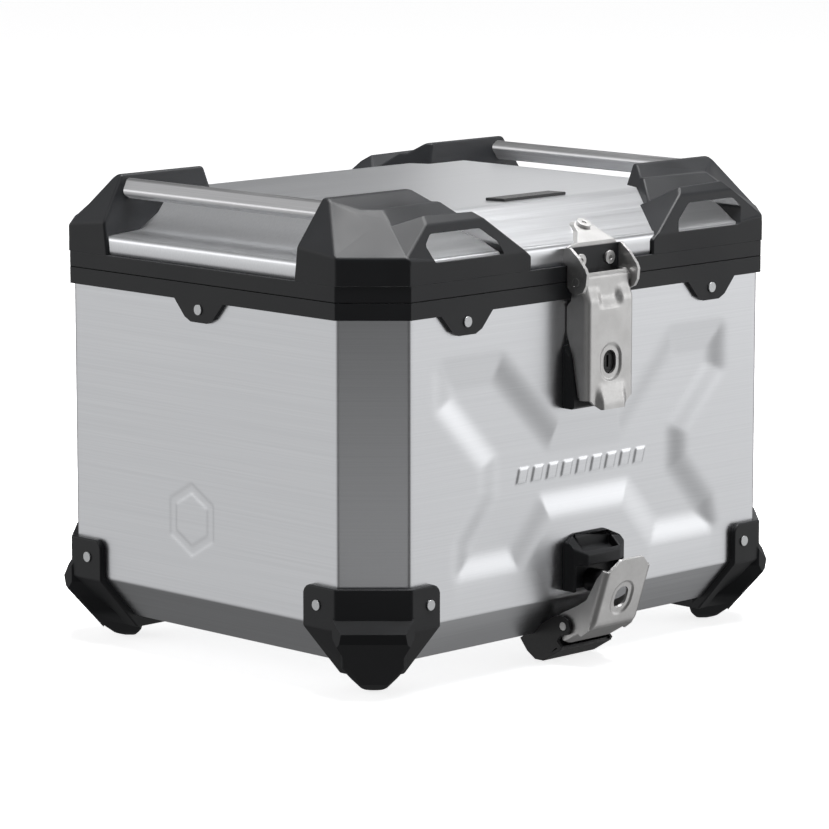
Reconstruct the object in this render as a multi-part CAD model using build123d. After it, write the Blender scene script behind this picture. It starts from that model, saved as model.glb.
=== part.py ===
from build123d import *
import os
from math import sqrt, hypot

# Aluminium motorcycle top case, in millimetres.
# X runs to the right as seen from the latch side, -Y is the latch side, Z is up.
# The pieces are drawn round the centre of the case body. write_case() then moves them all by FRAME_Y,
# so that the origin is on the ground under the middle of the whole case, latches included.

# ---------------------------------------------------------------- driving dimensions
SHEET = 1.5                      # aluminium wall thickness
BODY_X = 205.0                   # half width of the body
BODY_Y = 163.4                   # half depth of the body
CORNER = 33.2                    # cut of each vertical corner, along X and Y
FLOOR_Z = 18.7                   # underside of the floor
CREASE_Z = 48.9                  # where the lower bevel meets the wall
BEVEL_IN = 27.0                  # how far the lower bevel runs in
SHEET_TOP = 260.5                # top edge of the body sheet, inside the rim

RIM_OUT = 3.0                    # rims stand this far proud of the sheet
RIM_IN = 6.0                     # rims reach this far inside the sheet
RIM_LOW = 252.5                  # lower edge of the body rim
PARTING_Z = 263.8                # top of the body rim
LID_GAP = 0.35                   # clearance between body rim and lid rim
LID_RIM_LOW = PARTING_Z + LID_GAP
LID_RIM_TOP = 275.0
ON_LID_RIM = LID_RIM_TOP + 0.2   # pieces that stand on the lid rim start here
LID_SHEET_LOW = 267.2            # lower edge of the lid sheet, inside the lid rim
SEAL_Z = 262.0                   # bottom of the seal groove
SEAL_TOP = 264.7
SEAL_WIDTH = 4.0
SEAL_CLEAR = 0.4

LEDGE_Z = 288.0                  # bend of the lid front and ledge under the rails
LID_TOP = 313.7                  # flat top panel
PANEL_X = 146.0                  # half width of the top panel
PANEL_Y = 114.0                  # half depth of the top panel
WALL_X = 168.0                   # foot of the lid's inclined side wall

TAB_X = 121.0                    # rivet tabs of the body rim, front and rear
TAB_LOW = 238.0
TAB_TOP_HALF = 26.0
TAB_LOW_HALF = 10.0
RIVET_R = 3.6
RIVET_SHANK_R = 2.0
RIVET_Z = 246.7
RIVET_HEAD = 1.0
RIVET_TAIL = 2.0                 # bulb of the blind rivet, inside the wall
RIVET_TAIL_R = 3.0
PAST = 1.0                       # cutters run this far past what they cut

CAP_X = BODY_X + RIM_OUT         # caps stand flush with the rims
CAP_Y = BODY_Y + RIM_OUT
KNEE_Z = 293.7                   # top of the caps' upright faces
KNEE_CORNER = (CAP_X, 131.4, KNEE_Z)
RIDGE_Y = 104.2
RIDGE_Z = 328.5
TIER_Y = 126.2
TIER_Z = 320.7
CAP_END_Y = 92.6                 # foot of the caps' end faces towards the rails
CAP_END_LEAN = (0, -0.993, 0.122)
SIDE_LEAN = (0.842, 0.061, 0.536)    # the caps' sides above the knee
CORNER_SIDE = (174.0, 166.4, 0)      # on the caps' upright corner face
INNER_FOOT = (61.0, 167.0, LID_RIM_TOP)
INNER_LEAN = (-0.857, -0.404, 0.320)
BROAD_LEAN = (0.233, 0.711, 0.664)   # broad slope from the ridge to the corner
CORNER_LEAN = (1, 1, 1.99)
LOOP_X = (60.0, 175.0)
LOOP_Y = 130.0
LOOP_TOP = 320.0
LOOP_RIDGE = (147.0, 151.0, 318.0)
WINDOW = [(150.5, 288.0), (156.0, 299.8), (149.5, 306.5), (103.5, 306.5), (89.0, 296.0), (86.0, 288.0)]
RAIL_X = 181.7
RAIL_Z = 318.8
RAIL_W = 10.0
RAIL_H = 13.0
RAIL_ROUND = 3.4
RAIL_LEAN = 30.0                 # degrees, as the caps' sides
RAIL_SOCKET = 2.0                # rails run this far into the caps

GUARD = 4.5                      # wall of the corner protectors
GUARD_X = 147.0                  # protectors start here on the front and rear
GUARD_Y = 101.5                  # and here on the sides
GUARD_TOP = 75.5
GUARD_RIVET_X = 156.8
GUARD_RIVET_Y = 115.0
GUARD_RIVET_Z = 62.7
GUARD_LOW = 9.7                  # lowest point of the protectors' skirts
BUMP_HALF = 19.0                 # half width of the raised nose on each protector
FOOT_HALF = 30.0

HINGE_Y = 172.6                  # lid hinge axis, behind the rims
HINGE_Z = 264.0
HINGE_X = 34.0
HINGE_LEN = 44.0
KNUCKLE_R = 3.6
HINGE_PIN_R = 2.0
RUN_FIT = 0.05                   # radial clearance of every running fit
LEAF = 1.8
HINGE_RIVET_LOW = 250.5
HINGE_RIVET_HIGH = 279.6
HINGE_RIVET_STEP = 14.0          # rivets stand this far from the middle of their leaf
BODY_LEAF_Z = (243.0, 262.5)
LID_LEAF_Z = (266.0, 284.0)
HINGE_STEM_LOW = 260.4           # lowest point of the stem from body leaf to knuckle
HINGE_STEM_HIGH = 267.6
PIN_HEAD = 1.2

LID_PIVOT_Y = -175.1             # upper latch lever pivot
LID_PIVOT_Z = 264.6
LEVER_HALF = 23.4                # upper lever half width
LEVER_SHEET = 2.0
LEVER_FACE_Y = -183.2            # upper lever front face
EAR_IN = 24.0
EAR_OUT = 26.5
PIVOT_R = 3.0
SCREW_X = 14.3                   # screws through the spacer block
SCREW_Z = 277.6
SCREW_R = 2.5
TAB_END_Y = -142.0               # upper end of the bracket's tab on the bevel
TAB_SCREW_X = 9.0                # the tab and its screw stand right of the middle
TAB_SCREW_Y = -148.5
SPACER_FACE = -167.4             # front of the black block between the ears
HEAD_R = 4.6                     # heads of the screws through the block
HEAD_THICK = 1.8
LOCK_Z = 209.2                   # upper lock axis
LOCK_R = 8.0
PLUG_R = 5.8

MOUNT_PIVOT_Y = -164.0           # lower latch lever pivot
MOUNT_PIVOT_Z = 28.0
MOUNT_HALF = 22.5                # lower lever half width
MOUNT_EAR_IN = 23.1
MOUNT_EAR_OUT = 25.6
MOUNT_LOCK_Z = 57.4
HOUSING_HALF = 25.5
CLEAR = 0.5                      # working clearance between moving pieces

CARRIER_X = 105.0                # half width of the plate under the floor
CARRIER_Y = 85.0
CARRIER_THICK = 3.0
TONGUE_X = 62.0                  # middle of each tongue
TONGUE_HALF = 16.0
BOLT_X = 160.0                   # carrier bolt spacing along X
BOLT_Y = 120.0                   # carrier bolt spacing along Y
BOLT_R = 3.3
BADGE_THICK = 2.0
BACKING_HALF = 24.0              # half width of the plates behind both latches
BACKING_THICK = 2.0

FRAME_Y = 14.15                  # moves the origin from the body's centre to the whole case's

ON_SEAT = (Align.CENTER, Align.CENTER, Align.MIN)

nodes = {}


# ---------------------------------------------------------------- helpers
def shrunk_corner(grow):
    """Corner cut of an octagon whose every side is moved out by grow."""
    return CORNER + grow * (2 - sqrt(2))


def octagon(grow, z):
    """Body outline moved out by grow, as a face at height z."""
    x = BODY_X + grow
    y = BODY_Y + grow
    c = shrunk_corner(grow)
    points = [(x, -y + c), (x, y - c), (x - c, y), (-x + c, y), (-x, y - c), (-x, -y + c), (-x + c, -y), (x - c, -y)]
    return Plane.XY.offset(z) * make_face(Polyline(*points, close=True))


def prism(grow, low, high):
    return extrude(octagon(grow, low), amount=high - low)


def ring(outer, inner, low, high):
    return prism(outer, low, high) - prism(inner, low - PAST, high + PAST)


def body_form(grow, top):
    """Solid block with the body's outside shape moved out by grow."""
    slope = hypot(BEVEL_IN, CREASE_Z - FLOOR_Z)
    out = (CREASE_Z - FLOOR_Z) / slope
    down = BEVEL_IN / slope
    crease = CREASE_Z - grow * (1 - out) / down
    floor = FLOOR_Z - grow
    inset = (grow - down * (CREASE_Z - floor)) / out
    bevel = loft([octagon(inset, floor), octagon(grow, crease)], ruled=True)
    return bevel + prism(grow, crease, top)


def side_prism(points, x_low, x_high):
    """Outline in (y, z) extended along X."""
    face = Plane.YZ.offset(x_low) * make_face(Polyline(*points, close=True))
    return extrude(face, amount=x_high - x_low)


def front_prism(points, y_low, y_high):
    """Outline in (x, z) extended along Y."""
    face = Plane.XZ.offset(-y_high) * make_face(Polyline(*points, close=True))
    return extrude(face, amount=y_high - y_low)


def span(x0, x1, y0, y1, z0, z1):
    """Box from its low and high corners."""
    return Pos((x0 + x1) / 2, (y0 + y1) / 2, (z0 + z1) / 2) * Box(x1 - x0, y1 - y0, z1 - z0)


def keep_below(shape, point, normal):
    """Part of shape on the side that the normal points away from."""
    return split(shape, bisect_by=Plane(origin=point, z_dir=normal), keep=Keep.BOTTOM)


def rod_x(radius, x0, x1, y, z):
    return Plane(origin=(x0, y, z), z_dir=(1, 0, 0)) * Cylinder(
        radius, x1 - x0, align=ON_SEAT)


def rod_y(radius, x, y0, y1, z):
    return Plane(origin=(x, y0, z), z_dir=(0, 1, 0)) * Cylinder(
        radius, y1 - y0, align=ON_SEAT)


def rod_z(radius, x, y, z0, z1):
    return Pos(x, y, z0) * Cylinder(radius, z1 - z0, align=ON_SEAT)


def four_ways(shape):
    """Copies of a right rear piece, named by corner."""
    right_front = mirror(shape, about=Plane.XZ)
    return {
        "rear_right": shape,
        "rear_left": mirror(shape, about=Plane.YZ),
        "front_right": right_front,
        "front_left": mirror(right_front, about=Plane.YZ),
    }


def lid_form(grow, low):
    """Solid block with the lid's outside shape moved out by grow."""
    rise = LID_TOP - LEDGE_Z
    bevel = hypot(BODY_Y - PANEL_Y, rise)
    wall = hypot(WALL_X - PANEL_X, rise)
    knee = LEDGE_Z + grow * (1 - rise / bevel) * bevel / (BODY_Y - PANEL_Y)
    panel_y = PANEL_Y + grow * (1 - (BODY_Y - PANEL_Y) / bevel) * bevel / rise
    wall_shift = grow * (1 - (WALL_X - PANEL_X) / wall) * wall / rise
    base = prism(grow, low, LEDGE_Z + grow)
    y = BODY_Y + grow
    side = [(-y, low), (y, low), (y, knee), (panel_y, LID_TOP + grow), (-panel_y, LID_TOP + grow), (-y, knee)]
    long_block = side_prism(side, -BODY_X, BODY_X)
    foot = WALL_X + wall_shift
    head = PANEL_X + wall_shift
    front = [(-foot, low), (foot, low), (foot, LEDGE_Z + grow), (head, LID_TOP + grow),
             (-head, LID_TOP + grow), (-foot, LEDGE_Z + grow)]
    crown = long_block & front_prism(front, -BODY_Y - PAST, BODY_Y + PAST) & prism(grow, low, LID_TOP + grow)
    return (base & below_bend(knee, low, grow)) + crown


def below_bend(knee, low, grow):
    """Keeps the lid base under its front bend, where the bend starts below the ledge."""
    y = BODY_Y + grow
    top = max(knee, LEDGE_Z + grow)
    reach = BODY_X + 2 * RIM_OUT
    side = [(-y, low), (y, low), (y, knee), (y - PAST, top), (-y + PAST, top), (-y, knee)]
    return side_prism(side, -reach, reach)


def lid_bevel_z(y, lift=0.0):
    """Height of the lid's front bevel at depth y, lifted square to the bevel."""
    run = BODY_Y - PANEL_Y
    rise = LID_TOP - LEDGE_Z
    return LEDGE_Z + (BODY_Y - abs(y)) * rise / run + lift * hypot(run, rise) / run


# ---------------------------------------------------------------- case body
def body_shell():
    shell = body_form(0, SHEET_TOP) - body_form(-SHEET, SHEET_TOP + PAST)
    shell -= prism(-BEVEL_IN - SHEET, FLOOR_Z - PAST, FLOOR_Z + SHEET + PAST)
    for x, y, direction in rim_rivet_places():
        shell -= rivet_hole(x, y, RIVET_Z, direction)
    for side in (-1, 1):
        for x in (-GUARD_RIVET_X, GUARD_RIVET_X):
            shell -= rivet_hole(x, side * BODY_Y, GUARD_RIVET_Z, (0, side, 0))
        for y in (-GUARD_RIVET_Y, GUARD_RIVET_Y):
            shell -= rivet_hole(side * BODY_X, y, GUARD_RIVET_Z, (side, 0, 0))
    return cut_rivets(shell, HINGE_RIVET_LOW)


def bolt_points():
    return [(sx * BOLT_X / 2, sy * BOLT_Y / 2) for sx in (-1, 1) for sy in (-1, 1)]


def bolt_hole(x, y):
    """Cutter through the carrier plate and the floor pan."""
    return rod_z(BOLT_R, x, y, FLOOR_Z - CARRIER_THICK - PAST, FLOOR_Z + 2 * SHEET + PAST)


def floor_pan():
    inner = body_form(-SHEET, SHEET_TOP)
    pan = inner & span(-BODY_X, BODY_X, -BODY_Y, BODY_Y, FLOOR_Z + SHEET, FLOOR_Z + 2 * SHEET)
    for x, y in bolt_points():
        pan -= bolt_hole(x, y)
    return pan


def carrier_plate():
    """Stiffening plate that fills the body's open bottom, with the bolt holes."""
    low = FLOOR_Z - CARRIER_THICK
    plate = span(-CARRIER_X, CARRIER_X, -CARRIER_Y, CARRIER_Y, low, FLOOR_Z + SHEET)
    for x, y in bolt_points():
        plate -= bolt_hole(x, y)
    return plate


def carrier_tongues():
    """Two hooked tongues that slide under the carrier's far edge."""
    seat = FLOOR_Z - CARRIER_THICK
    profile = [(60, 8.5), (84, 8.5), (84, seat), (76, seat), (76, 12), (60, 12)]
    return [side_prism(profile, x - TONGUE_HALF, x + TONGUE_HALF) for x in (-TONGUE_X, TONGUE_X)]


def rim_tab():
    """Rivet tab hanging from the rim, drawn in (along, z)."""
    return [(-TAB_TOP_HALF, RIM_LOW + 2), (-TAB_LOW_HALF - 4, TAB_LOW + 3), (-TAB_LOW_HALF + 2, TAB_LOW),
            (TAB_LOW_HALF - 2, TAB_LOW), (TAB_LOW_HALF + 4, TAB_LOW + 3), (TAB_TOP_HALF, RIM_LOW + 2)]


def rim_rivet_places():
    """Rivet positions as (x, y, outward direction)."""
    places = [(sx * TAB_X, sy * BODY_Y, (0, sy, 0)) for sx in (-1, 1) for sy in (-1, 1)]
    return places + [(sx * BODY_X, 0, (sx, 0, 0)) for sx in (-1, 1)]


def rivet(x, y, z, direction, wall):
    """Flat headed blind rivet through wall thickness wall."""
    seat = Plane(origin=(x, y, z), z_dir=direction)
    head = seat.offset(wall) * Cylinder(RIVET_R, RIVET_HEAD, align=ON_SEAT)
    shank = seat.offset(-SHEET) * Cylinder(RIVET_SHANK_R, wall + SHEET, align=ON_SEAT)
    tail = seat.offset(-SHEET - RIVET_TAIL) * Cylinder(RIVET_TAIL_R, RIVET_TAIL, align=ON_SEAT)
    return head + shank + tail


def rivet_hole(x, y, z, direction):
    """Cutter for a rivet's shank, long enough for the wall and everything riveted to it."""
    reach = RIM_IN + RIM_OUT + LEAF
    seat = Plane(origin=(x, y, z), z_dir=direction)
    return seat.offset(-reach) * Cylinder(RIVET_SHANK_R, 2 * reach, align=ON_SEAT)


def body_rim():
    rim = ring(RIM_OUT, 0, RIM_LOW, PARTING_Z) + ring(0.1, -RIM_IN, SHEET_TOP, PARTING_Z)
    for x, y, direction in rim_rivet_places():
        if direction[0] == 0:
            front = [(x + a, z) for a, z in rim_tab()]
            near = min(y, y + direction[1] * RIM_OUT)
            rim += front_prism(front, near, near + RIM_OUT)
        else:
            near = min(x, x + direction[0] * RIM_OUT)
            rim += side_prism(rim_tab(), near, near + RIM_OUT)
        rim -= rivet_hole(x, y, RIVET_Z, direction)
    rim = cut_rivets(rim, HINGE_RIVET_LOW)
    return rim - ring(-1, -1 - SEAL_WIDTH, SEAL_Z, PARTING_Z + 1)


def rim_gasket():
    return ring(-1, -1 - SEAL_WIDTH, SEAL_Z, PARTING_Z) + ring(-2, -4, PARTING_Z, SEAL_TOP)


def rim_rivets():
    return [rivet(x, y, RIVET_Z, direction, RIM_OUT) for x, y, direction in rim_rivet_places()]


def diagonal(points, half_width):
    """Outline in (outward, z) across the corner, extended along the corner cut."""
    middle_x = BODY_X - CORNER / 2
    middle_y = BODY_Y - CORNER / 2
    out = 1 / sqrt(2)
    plane = Plane(origin=(middle_x, middle_y, 0), x_dir=(out, out, 0), z_dir=(out, -out, 0))
    face = plane.offset(-half_width) * make_face(Polyline(*points, close=True))
    return extrude(face, amount=2 * half_width)


def across(points, reach):
    """Outline in (along the corner cut, z), extended inwards and outwards."""
    middle_x = BODY_X - CORNER / 2
    middle_y = BODY_Y - CORNER / 2
    out = 1 / sqrt(2)
    plane = Plane(origin=(middle_x, middle_y, 0), x_dir=(out, -out, 0), z_dir=(-out, -out, 0))
    face = plane.offset(-reach) * make_face(Polyline(*points, close=True))
    return extrude(face, amount=3 * reach)


def protector():
    """Corner guard that wraps the rear right lower corner and ends in a foot."""
    region = span(GUARD_X, BODY_X + 2 * GUARD, GUARD_Y, BODY_Y + 2 * GUARD, GUARD_LOW, GUARD_TOP)
    skin = body_form(GUARD, GUARD_TOP) & region
    bump = diagonal([(0, 56), (GUARD, 54), (10.5, 45.5), (9.0, 39.5), (-10, 20), (-10, 56)], BUMP_HALF)
    foot_side = [(5, 36), (-14, 10.5), (-24, 2), (-31, 0), (-38, 0), (-43, 6), (-43, FLOOR_Z), (-20, FLOOR_Z + 6)]
    foot_front = [(-6.5, 0), (6.5, 0), (21.5, 11), (27, 24), (27, 60), (-27, 60), (-27, 24), (-21.5, 11)]
    foot = diagonal(foot_side, FOOT_HALF) & across(foot_front, 2 * FOOT_HALF)
    guard = skin + bump + foot - body_form(0, SHEET_TOP)
    guard -= rivet_hole(GUARD_RIVET_X, BODY_Y, GUARD_RIVET_Z, (0, 1, 0))
    guard -= rivet_hole(BODY_X, GUARD_RIVET_Y, GUARD_RIVET_Z, (1, 0, 0))
    return guard


def protector_rivets():
    rear = rivet(GUARD_RIVET_X, BODY_Y, GUARD_RIVET_Z, (0, 1, 0), GUARD)
    side = rivet(BODY_X, GUARD_RIVET_Y, GUARD_RIVET_Z, (1, 0, 0), GUARD)
    return list(four_ways(rear).values()) + list(four_ways(side).values())


# ---------------------------------------------------------------- rear hinges
def hinge_knuckle(x0, x1):
    return rod_x(KNUCKLE_R, x0, x1, HINGE_Y, HINGE_Z)


def hinge_parts(side):
    """Body leaf, lid leaf and pin of one hinge at x = side * HINGE_X."""
    x = side * HINGE_X
    half = HINGE_LEN / 2
    third = HINGE_LEN / 4
    rear = BODY_Y + RIM_OUT
    body_leaf = span(x - half, x + half, rear, rear + LEAF, *BODY_LEAF_Z)
    lid_leaf = span(x - half, x + half, rear, rear + LEAF, *LID_LEAF_Z)
    lid_leaf += span(x - half, x + half, BODY_Y, rear + LEAF, ON_LID_RIM, LID_LEAF_Z[1])
    for x0, x1 in ((x - half, x - third), (x + third, x + half)):
        body_leaf += span(x0, x1, rear, HINGE_Y, HINGE_STEM_LOW, HINGE_Z) + hinge_knuckle(x0, x1)
    middle = (x - third + CLEAR, x + third - CLEAR)
    lid_leaf += span(*middle, rear, HINGE_Y, HINGE_Z, HINGE_STEM_HIGH) + hinge_knuckle(*middle)
    bore = rod_x(HINGE_PIN_R + RUN_FIT, x - half - PAST, x + half + PAST, HINGE_Y, HINGE_Z)
    pin = rod_x(HINGE_PIN_R, x - half, x + half, HINGE_Y, HINGE_Z)
    head = rod_x(KNUCKLE_R, x - half - PIN_HEAD, x - half, HINGE_Y, HINGE_Z)
    return body_leaf - bore, lid_leaf - bore, pin + head


def hinge_rivet_x():
    return [side * HINGE_X + shift for side in (-1, 1) for shift in (-HINGE_RIVET_STEP, HINGE_RIVET_STEP)]


def hinge_rivets_body():
    wall = RIM_OUT + LEAF
    return [rivet(x, BODY_Y, HINGE_RIVET_LOW, (0, 1, 0), wall) for x in hinge_rivet_x()]


def hinge_rivets_lid():
    wall = RIM_OUT + LEAF
    return [rivet(x, BODY_Y, HINGE_RIVET_HIGH, (0, 1, 0), wall) for x in hinge_rivet_x()]


def cut_rivets(shape, z):
    for x in hinge_rivet_x():
        shape -= rivet_hole(x, BODY_Y, z, (0, 1, 0))
    return shape


# ---------------------------------------------------------------- lid
def lid_shell():
    shell = lid_form(0, LID_SHEET_LOW) - lid_form(-SHEET, LID_SHEET_LOW - 5)
    for x in (-SCREW_X, SCREW_X):
        shell -= rod_y(SCREW_R, x, -170, -160, SCREW_Z)
    return cut_rivets(shell, HINGE_RIVET_HIGH)


def lid_rim():
    rim = ring(RIM_OUT, 0, LID_RIM_LOW, LID_RIM_TOP) + ring(0.1, -RIM_IN, LID_RIM_LOW, LID_SHEET_LOW)
    groove = ring(-2 + SEAL_CLEAR, -4 - SEAL_CLEAR, LID_RIM_LOW - 1, SEAL_TOP + SEAL_CLEAR)
    return rim - groove


def cap_block(y_low, top):
    """Rear right cap blank with the outer side, corner and inner end that its three parts share."""
    blank = span(INNER_FOOT[0] - 11, CAP_X, y_low, CAP_Y, LID_RIM_TOP, top)
    blank = keep_below(blank, CORNER_SIDE, (1, 1, 0))
    blank = keep_below(blank, KNEE_CORNER, SIDE_LEAN)
    return keep_below(blank, INNER_FOOT, INNER_LEAN)


def cap_fin():
    """Tall part along the case's side, whose end face the rail runs into."""
    fin = cap_block(CAP_END_Y, RIDGE_Z)
    fin = keep_below(fin, KNEE_CORNER, BROAD_LEAN)
    fin = keep_below(fin, (0, RIDGE_Y, RIDGE_Z), (0, 8, 12))
    return keep_below(fin, (0, CAP_END_Y, LID_RIM_TOP), CAP_END_LEAN)


def cap_middle():
    """Lower part with the slanted corner face and the long slope to the rear."""
    middle = cap_block(RIDGE_Y, TIER_Z)
    middle = keep_below(middle, KNEE_CORNER, CORNER_LEAN)
    middle = keep_below(middle, (158.0, TIER_Y, TIER_Z), (-0.06, 0.593, 0.80))
    return keep_below(middle, (0, CAP_Y, KNEE_Z), (0, 5.0, 7.5))


def cap_loop():
    """Raised loop that a strap passes through."""
    loop = span(*LOOP_X, LOOP_Y, CAP_Y, LID_RIM_TOP, LOOP_TOP)
    loop = keep_below(loop, LOOP_RIDGE, (0.523, 0.343, 0.780))
    loop = keep_below(loop, LOOP_RIDGE, (-0.03, -0.51, 0.86))
    loop = keep_below(loop, LOOP_RIDGE, (0, 5.7, 7.0))
    loop = keep_below(loop, (0, 158.0, 312.3), (0, 23.8, 8.4))
    return keep_below(loop, (103.0, 152.8, 317.5), (-0.60, 0.03, 0.80))


def corner_cap():
    cap = cap_fin() + cap_middle() + cap_loop() - lid_form(0, LID_SHEET_LOW)
    cap -= front_prism(WINDOW, LOOP_Y, CAP_Y + 9)
    return cap - rail_bar()


def rail_bar():
    """Rounded rail section that leans with the caps' sides, cut to run a little way into them."""
    profile = RectangleRounded(RAIL_W, RAIL_H, RAIL_ROUND)
    section = Plane.XZ.offset(CAP_Y) * Pos(RAIL_X, RAIL_Z) * Rot(0, 0, RAIL_LEAN) * profile
    bar = extrude(section, amount=-2 * CAP_Y)
    for side in (-1, 1):
        away = (0, -side * CAP_END_LEAN[1], -CAP_END_LEAN[2])
        bar = keep_below(bar, (0, side * (CAP_END_Y + RAIL_SOCKET), LID_RIM_TOP), away)
    return bar


def badge_plate():
    """Blank nameplate on the top panel."""
    outline = [(-28, -110), (33, -110), (30, -96), (-32, -96)]
    face = Plane.XY.offset(LID_TOP) * make_face(Polyline(*outline, close=True))
    return extrude(face, amount=BADGE_THICK)


# ---------------------------------------------------------------- upper latch, on the lid
def lid_latch_bracket():
    """Steel bracket: web on the lid front, tab on the bevel, two forward ears."""
    ear = [(-163.4, ON_LID_RIM), (-163.4, 286.4), (-169.0, 287.2), (-177.0, 281.2), (-183.4, 274.2),
           (-185.2, 270.5), (-184.3, 263.0), (-181.6, 258.4), (-176.0, 256.0), (-171.0, 257.0), (-167.3, 260.5),
           (-167.3, ON_LID_RIM)]
    bracket = side_prism(ear, -EAR_OUT, -EAR_IN) + side_prism(ear, EAR_IN, EAR_OUT)
    bracket += span(-EAR_OUT, EAR_OUT, -165.4, -BODY_Y, ON_LID_RIM, 286.4)
    tab = [(-165.4, 286.4), (-BODY_Y, 286.4), (-BODY_Y, LEDGE_Z), (TAB_END_Y, lid_bevel_z(TAB_END_Y)),
           (TAB_END_Y - 1.0, lid_bevel_z(TAB_END_Y - 1.0, LEVER_SHEET)), (-165.4, lid_bevel_z(-165.4, LEVER_SHEET))]
    outline = [(-24, 280), (24, 280), (24, 287), (20, 291.6), (18, 297.3), (14, 299.6), (5, 300.2), (1, 298.5),
               (-2.5, 295), (-14, 289.4), (-24, 287)]
    bracket += side_prism(tab, -EAR_IN, EAR_IN) & front_prism(outline, -170, -130)
    bracket -= rod_x(PIVOT_R, -30, 30, LID_PIVOT_Y, LID_PIVOT_Z)
    for x in (-SCREW_X, SCREW_X):
        bracket -= rod_y(SCREW_R, x, -170, -160, SCREW_Z)
    return bracket


def lid_latch_spacer():
    """Black block between the ears, stepped over the lid rim."""
    profile = [(-165.4, ON_LID_RIM), (-165.4, 286.6), (SPACER_FACE, 286.6), (SPACER_FACE, 271.5),
               (-166.7, 271.5),
               (-166.7, ON_LID_RIM)]
    block = side_prism(profile, -EAR_IN, EAR_IN)
    for x in (-SCREW_X, SCREW_X):
        block -= rod_y(SCREW_R, x, -170, -160, SCREW_Z)
    return block


def lid_latch_screws():
    """Two screws through the block and one on the bevel tab."""
    screws = []
    for x in (-SCREW_X, SCREW_X):
        shank = rod_y(SCREW_R, x, SPACER_FACE, -160.5, SCREW_Z)
        head = rod_y(HEAD_R, x, SPACER_FACE - HEAD_THICK, SPACER_FACE, SCREW_Z)
        socket = rod_y(1.5, x, SPACER_FACE - HEAD_THICK - 0.1, SPACER_FACE - 0.6, SCREW_Z)
        screws.append(shank + head - socket)
    tab_slope = (0, LEDGE_Z - LID_TOP, BODY_Y - PANEL_Y)
    seat = Plane(origin=(TAB_SCREW_X, TAB_SCREW_Y, lid_bevel_z(TAB_SCREW_Y, LEVER_SHEET)), z_dir=tab_slope)
    head = seat * Cylinder(5.2, 2.4, align=ON_SEAT)
    head -= seat.offset(1.2) * Cylinder(1.7, 2.4, align=ON_SEAT)
    screws.append(head)
    return screws


def lid_latch_pin():
    return rod_x(PIVOT_R, -EAR_OUT, EAR_OUT, LID_PIVOT_Y, LID_PIVOT_Z)


def flange_hole(shape, y, z):
    return shape - rod_x(PIVOT_R + RUN_FIT, -60, 60, y, z)


def oval_hole(face_plane, depth):
    """Key hole cutter, set square to a lever's face."""
    return face_plane * extrude(SlotOverall(17.0, 9.0, rotation=90), amount=depth, both=True)


def lid_latch_lever():
    """U-shaped sheet lever that closes over the lock."""
    inner = LEVER_FACE_Y + LEVER_SHEET
    out = EAR_IN - CLEAR
    side = [(LEVER_FACE_Y, 268.0), (LEVER_FACE_Y + 2.5, 270.2), (-175.0, 271.6), (-170.2, 269.6), (-168.1, 264.6),
            (-168.1, 250.0), (-165.0, 248.0), (-165.0, 223.0), (-169.6, 215.5), (-174.6, 186.5), (-180.0, 184.4),
            (LEVER_FACE_Y, 184.4)]
    blank = side_prism(side, -LEVER_HALF, LEVER_HALF)
    blank = blank - span(-LEVER_HALF + LEVER_SHEET, LEVER_HALF - LEVER_SHEET, inner, -150, 150, 300)
    foot = [(LEVER_FACE_Y, 196.0), (inner, 196.0), (inner - 3.6, 177.6), (LEVER_FACE_Y - 3.6, 177.6)]
    blank += side_prism(foot, -10.5, 10.5)
    skirt = [(LEVER_FACE_Y, 185.0), (inner, 185.0), (inner - 2.6, 179.0), (LEVER_FACE_Y - 2.6, 179.0)]
    blank += side_prism(skirt, -14.5, 14.5)
    blank = flange_hole(blank, LID_PIVOT_Y, LID_PIVOT_Z)
    hole = oval_hole(Plane(origin=(0, LEVER_FACE_Y, LOCK_Z), x_dir=(1, 0, 0), z_dir=(0, -1, 0)), 6)
    return blank - hole


def lid_latch_base():
    """Black block on the case front that the lever closes over."""
    side = [(-BODY_Y, 178.0), (-BODY_Y, 221.0), (-169.0, 214.0), (-174.0, 185.0), (-174.0, 179.5), (-172.0, 178.0)]
    base = side_prism(side, -EAR_OUT, EAR_OUT)
    nose = rod_y(LOCK_R + 2.4, 0, -176.0, -BODY_Y, LOCK_Z)
    return base + nose - rod_y(LOCK_R, 0, -181.0, -BODY_Y, LOCK_Z)


def lock_cylinder(z, face_y, rear_y):
    """Barrel of a lock along Y, with a bore for its plug."""
    barrel = rod_y(LOCK_R, 0, face_y, rear_y, z)
    return barrel - rod_y(PLUG_R + RUN_FIT, 0, face_y - 1, rear_y - 3.0, z)


def lock_plug(z, face_y, rear_y):
    """Turning plug with its key slot."""
    plug = rod_y(PLUG_R, 0, face_y, rear_y - 3.2, z)
    return plug - span(-0.8, 0.8, face_y - 1, face_y + 7, z - 4.0, z + 4.0)


def backing_plate(z_low, z_high):
    """Steel plate inside the case wall that spreads the latch load."""
    inner = -BODY_Y + SHEET
    return span(-BACKING_HALF, BACKING_HALF, inner, inner + BACKING_THICK, z_low, z_high)


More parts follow.
